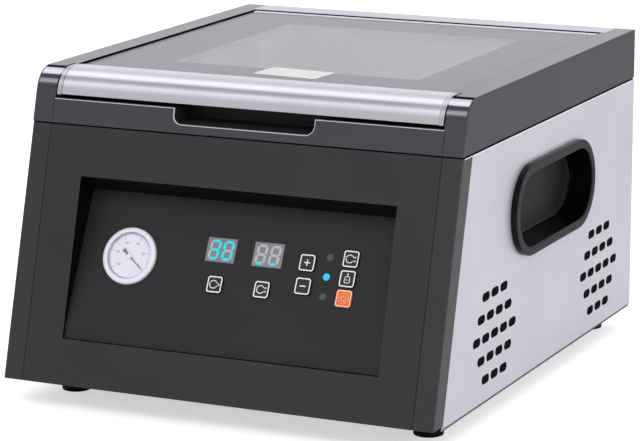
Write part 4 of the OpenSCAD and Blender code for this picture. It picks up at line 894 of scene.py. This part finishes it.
def hand_cup(side, tag):
    """The moulded cup, and the gloss of its rim's edge and of its inner wall."""
    rim = [(-0.06, SIDE_X + 0.03), (-0.06, CUP_FACE - 0.85), (0.2, CUP_FACE - 0.36), (0.5, CUP_FACE - 0.6),
           (0.3, SIDE_X + 0.03), (-0.06, SIDE_X + 0.03)]
    piece("hand_cup_rim_" + tag, ovals(side, rim), "cup_gloss", "housing", smooth=40)
    flange = [(0.0, CUP_SEAT), (0.0, CUP_FACE - 0.9), (0.25, CUP_FACE - 0.4), (0.8, CUP_FACE - 0.05),
              (1.4, CUP_FACE), (6.0, CUP_FACE), (6.5, CUP_FACE - 0.1), (6.9, CUP_FACE - 0.5)]
    inside = [(7.0, CUP_FACE - 1.2), (7.4, CUP_FLOOR + 3.5), (7.9, CUP_FLOOR + 1.8), (9.0, CUP_FLOOR + 0.6),
              (10.6, CUP_FLOOR + 0.1), (13.0, CUP_FLOOR)]
    back = [(0.0, CUP_SEAT), (4.8, CUP_SEAT), (4.85, CUP_FLOOR + 6), (7.5, CUP_FLOOR - 1.4),
            (12.0, CUP_FLOOR - 2.2)]
    cup = join([ovals(side, flange + inside, end=True), ovals(side, back, end=True)])
    piece("hand_cup_" + tag, cup, "cup", "housing", replaces=("handle_cup_" + tag,), smooth=32)
    wall = [(7.06, CUP_FACE - 1.25), (7.46, CUP_FLOOR + 3.5), (7.96, CUP_FLOOR + 1.85),
            (8.7, CUP_FLOOR + 0.95), (8.9, CUP_FLOOR + 0.6), (7.8, CUP_FLOOR + 1.6),
            (7.2, CUP_FLOOR + 3.5), (6.9, CUP_FACE - 1.35), (7.06, CUP_FACE - 1.25)]
    piece("hand_cup_wall_" + tag, ovals(side, wall), "cup_gloss", "housing", smooth=40)


for side, tag in SIDES:
    hand_cup(side, tag)

# ---------------------------------------------------------------- sides: painted shade in the vent slots, the seam and along the foot, and painted highlight under the seam
VENT_GROUPS, VENT_ROWS = (-96.6, 134.8), (3, 4, 5, 4, 3)
VENT_PITCH, VENT_ROW, VENT_LOW = 18.2, 16.0, PAN_Z + 18.3
VENT_SHADE_L, VENT_SHADE_H, VENT_SHADE_X = 14.8, 6.8, (-1.25, 0.03)
SEAM_SHADE_H, TOP_HIGHLIGHT_H, FOOT_SHADE_H = 0.80, 0.75, 1.45


def vent_centres():
    """Middle of each vent slot of a side panel, in Y and Z."""
    for group in VENT_GROUPS:
        for row, count in enumerate(VENT_ROWS):
            for column in range(count):
                yield group + (column - (count - 1) / 2) * VENT_PITCH, VENT_LOW + row * VENT_ROW


def side_panel(side, tag):
    """Black sheets of painted shade in the vent slots and in the seam above, a light strip of painted
    highlight along the top edge, and a dark strip of painted shade along the foot.
    """
    def on_side(y, z, out):
        return (side * (SIDE_X + out), y, z)

    # black sheets of painted shade in the vent slots
    slot = stadium(VENT_SHADE_L, VENT_SHADE_H, 8)
    vent_shades = [prism([(y + a, z + b) for a, b in slot], *VENT_SHADE_X, on_side) for y, z in vent_centres()]
    piece("vent_shade_" + tag, join(vent_shades), "black_shade", "housing")
    front, rear = front_y(SEAM_Z) + 1.6, REAR_Y - 3.8
    # a black sheet of painted shade in the seam under the upper frame
    shade_sheet = rect(front, rear, SEAM_Z - SEAM_SHADE_H, SEAM_Z + SEAM_SHADE_H)
    piece("seam_shade_" + tag, prism(shade_sheet, -1.0, 0.04, on_side), "black_shade", "housing")
    # a light strip of painted highlight along the panel's top edge, under the seam
    top = SEAM_Z - SEAM_SHADE_H - 0.04
    low = top - TOP_HIGHLIGHT_H
    edge = [(front + 1.4, low), (rear - 0.2, low), (rear - 0.2, top), (front + 1.2, top)]
    piece("panel_top_highlight_" + tag, prism(edge, -0.3, 0.08, on_side), "top_edge_highlight", "housing")
    # a dark strip of painted shade along the foot of the panel
    front, rear, low, top = FRONT_Y + 18.0, REAR_Y - 4.2, PAN_Z + 0.02, PAN_Z + FOOT_SHADE_H
    foot_strip = [(front, low), (rear, low), (rear, top), (front + 0.3, top)]
    piece("panel_foot_shade_" + tag, prism(foot_strip, -0.01, 0.1, on_side), "foot_shade", "housing")


for side, tag in SIDES:
    side_panel(side, tag)

# ---------------------------------------------------------------- feet
FEET = [(x, y) for x in (-150.5, 150.5) for y in (-154.0, 195.0)]
FOOT = [(4.6, 0.0), (10.6, 0.0), (11.3, 0.3), (11.6, 1.0), (11.2, 14.6), (10.6, 17.45), (3.0, 17.45),
        (3.0, 9.0), (4.6, 8.6)]


def standing(x, y):
    """Places points round a vertical axis."""
    return lambda a, b, c: (x + a, y + b, c)


feet = join([lathe(FOOT, standing(x, y), 48, close=True) for x, y in FEET])
piece("rubber_feet", feet, "foot", "housing", replaces=("feet",), smooth=35)

# ---------------------------------------------------------------- screws of the rear panel
SCREWS = [(x, z) for x in (-168, 168) for z in (27, 120, 204)] + [(0, 27), (0, 204)]
SCREW_HEAD = [(0.0, 0.5), (0.95, 0.5), (1.15, 1.2), (1.7, 1.4), (2.5, 1.05), (3.0, 0.35), (3.0, -0.4),
              (0.0, -0.4)]
back_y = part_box("rear_panel")[1][1] * 1000.0


def facing_back(x, z):
    """Places points round an axis that leaves the rear panel."""
    return lambda a, b, c: (x + a, back_y + c, z - b)


screws = join([lathe(SCREW_HEAD, facing_back(x, z), 24) for x, z in SCREWS])
piece("rear_screws", screws, "steel", "housing", smooth=40)

# ---------------------------------------------------------------- small rounds on the CAD pieces that stay
ROUNDS = {
    "upper_frame": 0.45, "front_panel": 0.3, "front_cheek_left": 0.4, "front_cheek_right": 0.4,
    "side_panel_left": 0.35, "side_panel_right": 0.35, "rear_cover": 0.5, "bar_caps": 0.35,
    "lid_frame": 0.4, "finger_pocket": 0.3, "filler_plates": 1.0, "seal_bar": 0.5, "switch_rocker": 0.3,
    "key_plus": 0.35, "key_minus": 0.35, "key_seal": 0.35, "key_marinate": 0.35, "key_start": 0.35,
    "key_vacuum_time": 0.35, "key_seal_time": 0.35,
}
for node, width in ROUNDS.items():
    soften(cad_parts[node], width)


# ---------------------------------------------------------------- floor, world and lamps, in m
FLOOR_GREY, FLOOR_LIFT = 0.80, 0.58
FLOOR_MIRRORED = 0.3                                    # share of the lift that a mirroring surface sees


def floor():
    """A plain floor that lifts to white for the camera and keeps the object's shadow."""
    n = Nodes(bpy.data.materials.new("floor"))
    path = n.add("LightPath")
    plain = n.add("BsdfDiffuse", {"Color": (*scaled(PLAIN, FLOOR_GREY), 1)}).outputs[0]
    lift = n.add("Emission", {"Color": (1, 1, 1, 1), "Strength": FLOOR_LIFT}).outputs[0]
    lifted = n.add("AddShader", {0: plain, 1: lift}).outputs[0]
    ins = {0: path.outputs["Is Glossy Ray"], 1: FLOOR_MIRRORED}
    glossy = n.add("Math", ins, operation="MULTIPLY").outputs[0]
    seen = n.add("Math", {0: path.outputs["Is Camera Ray"], 1: glossy}, operation="MAXIMUM").outputs[0]
    look = n.finish(n.add("MixShader", {"Fac": seen, 1: plain, 2: lifted}).outputs[0])
    mesh = bpy.data.meshes.new("floor")
    mesh.from_pydata([(-9, -9, 0), (9, -9, 0), (9, 9, 0), (-9, 9, 0)], [], [(0, 1, 2, 3)])
    mesh.materials.append(look)
    ob = bpy.data.objects.new("floor", mesh)
    scene.collection.objects.link(ob)


# the studio's soft strips, by angle from the back horizon over the top to the front horizon
STUDIO_STRIPS = ((0, 0.83), (22, 0.84), (34, 0.80), (55, 0.77), (66, 1.05), (72, 1.22), (86, 1.22),
                 (92, 0.95), (99, 0.48), (110, 0.47), (118, 0.70), (124, 1.0), (132, 0.95), (141, 0.76),
                 (150, 0.60), (180, 0.585))
STUDIO_TINT = (0.985, 0.988, 1.05)
STUDIO_LEVEL = 2.0                                      # keeps the ramp's colours below 1


def studio():
    """White for the camera, and soft strips round the object for everything else."""
    world = bpy.data.worlds.new("studio")
    scene.world = world
    n = Nodes(world, "OutputWorld")
    way = n.add("SeparateXYZ", {0: n.add("TexCoord").outputs["Generated"]}).outputs
    angle = n.add("Math", {0: way["Z"], 1: way["Y"]}, operation="ARCTAN2").outputs[0]
    share = n.add("Math", {0: angle, 1: math.pi}, operation="DIVIDE").outputs[0]
    strips = [(degrees / 180, scaled(STUDIO_TINT, level / STUDIO_LEVEL)) for degrees, level in STUDIO_STRIPS]
    light = n.add("Background", {"Color": n.colours(share, strips), "Strength": STUDIO_LEVEL}).outputs[0]
    white = n.add("Background", {"Color": (1, 1, 1, 1), "Strength": 1.0}).outputs[0]
    seen = n.add("LightPath").outputs["Is Camera Ray"]
    n.finish(n.add("MixShader", {"Fac": seen, 1: light, 2: white}).outputs[0])


def lamp(name, at, aim, power, size, size_y=None):
    """A soft lamp that no polished surface mirrors."""
    light = bpy.data.lights.new(name, "AREA")
    light.shape, light.size, light.energy = ("RECTANGLE" if size_y else "SQUARE"), size, power
    if size_y:
        light.size_y = size_y
    ob = bpy.data.objects.new(name, light)
    scene.collection.objects.link(ob)
    ob.location = at
    ob.rotation_euler = (Vector(aim) - Vector(at)).to_track_quat("-Z", "Y").to_euler()
    ob.visible_glossy = False


floor()
studio()
lamp("key_lamp", (0.35, -1.0, 0.95), (0.05, -0.15, 0.15), 5.0, 1.0, 0.5)
lamp("side_lamp", (2.4, 0.1, 0.95), (0, 0.05, 0.12), 10, 1.6)
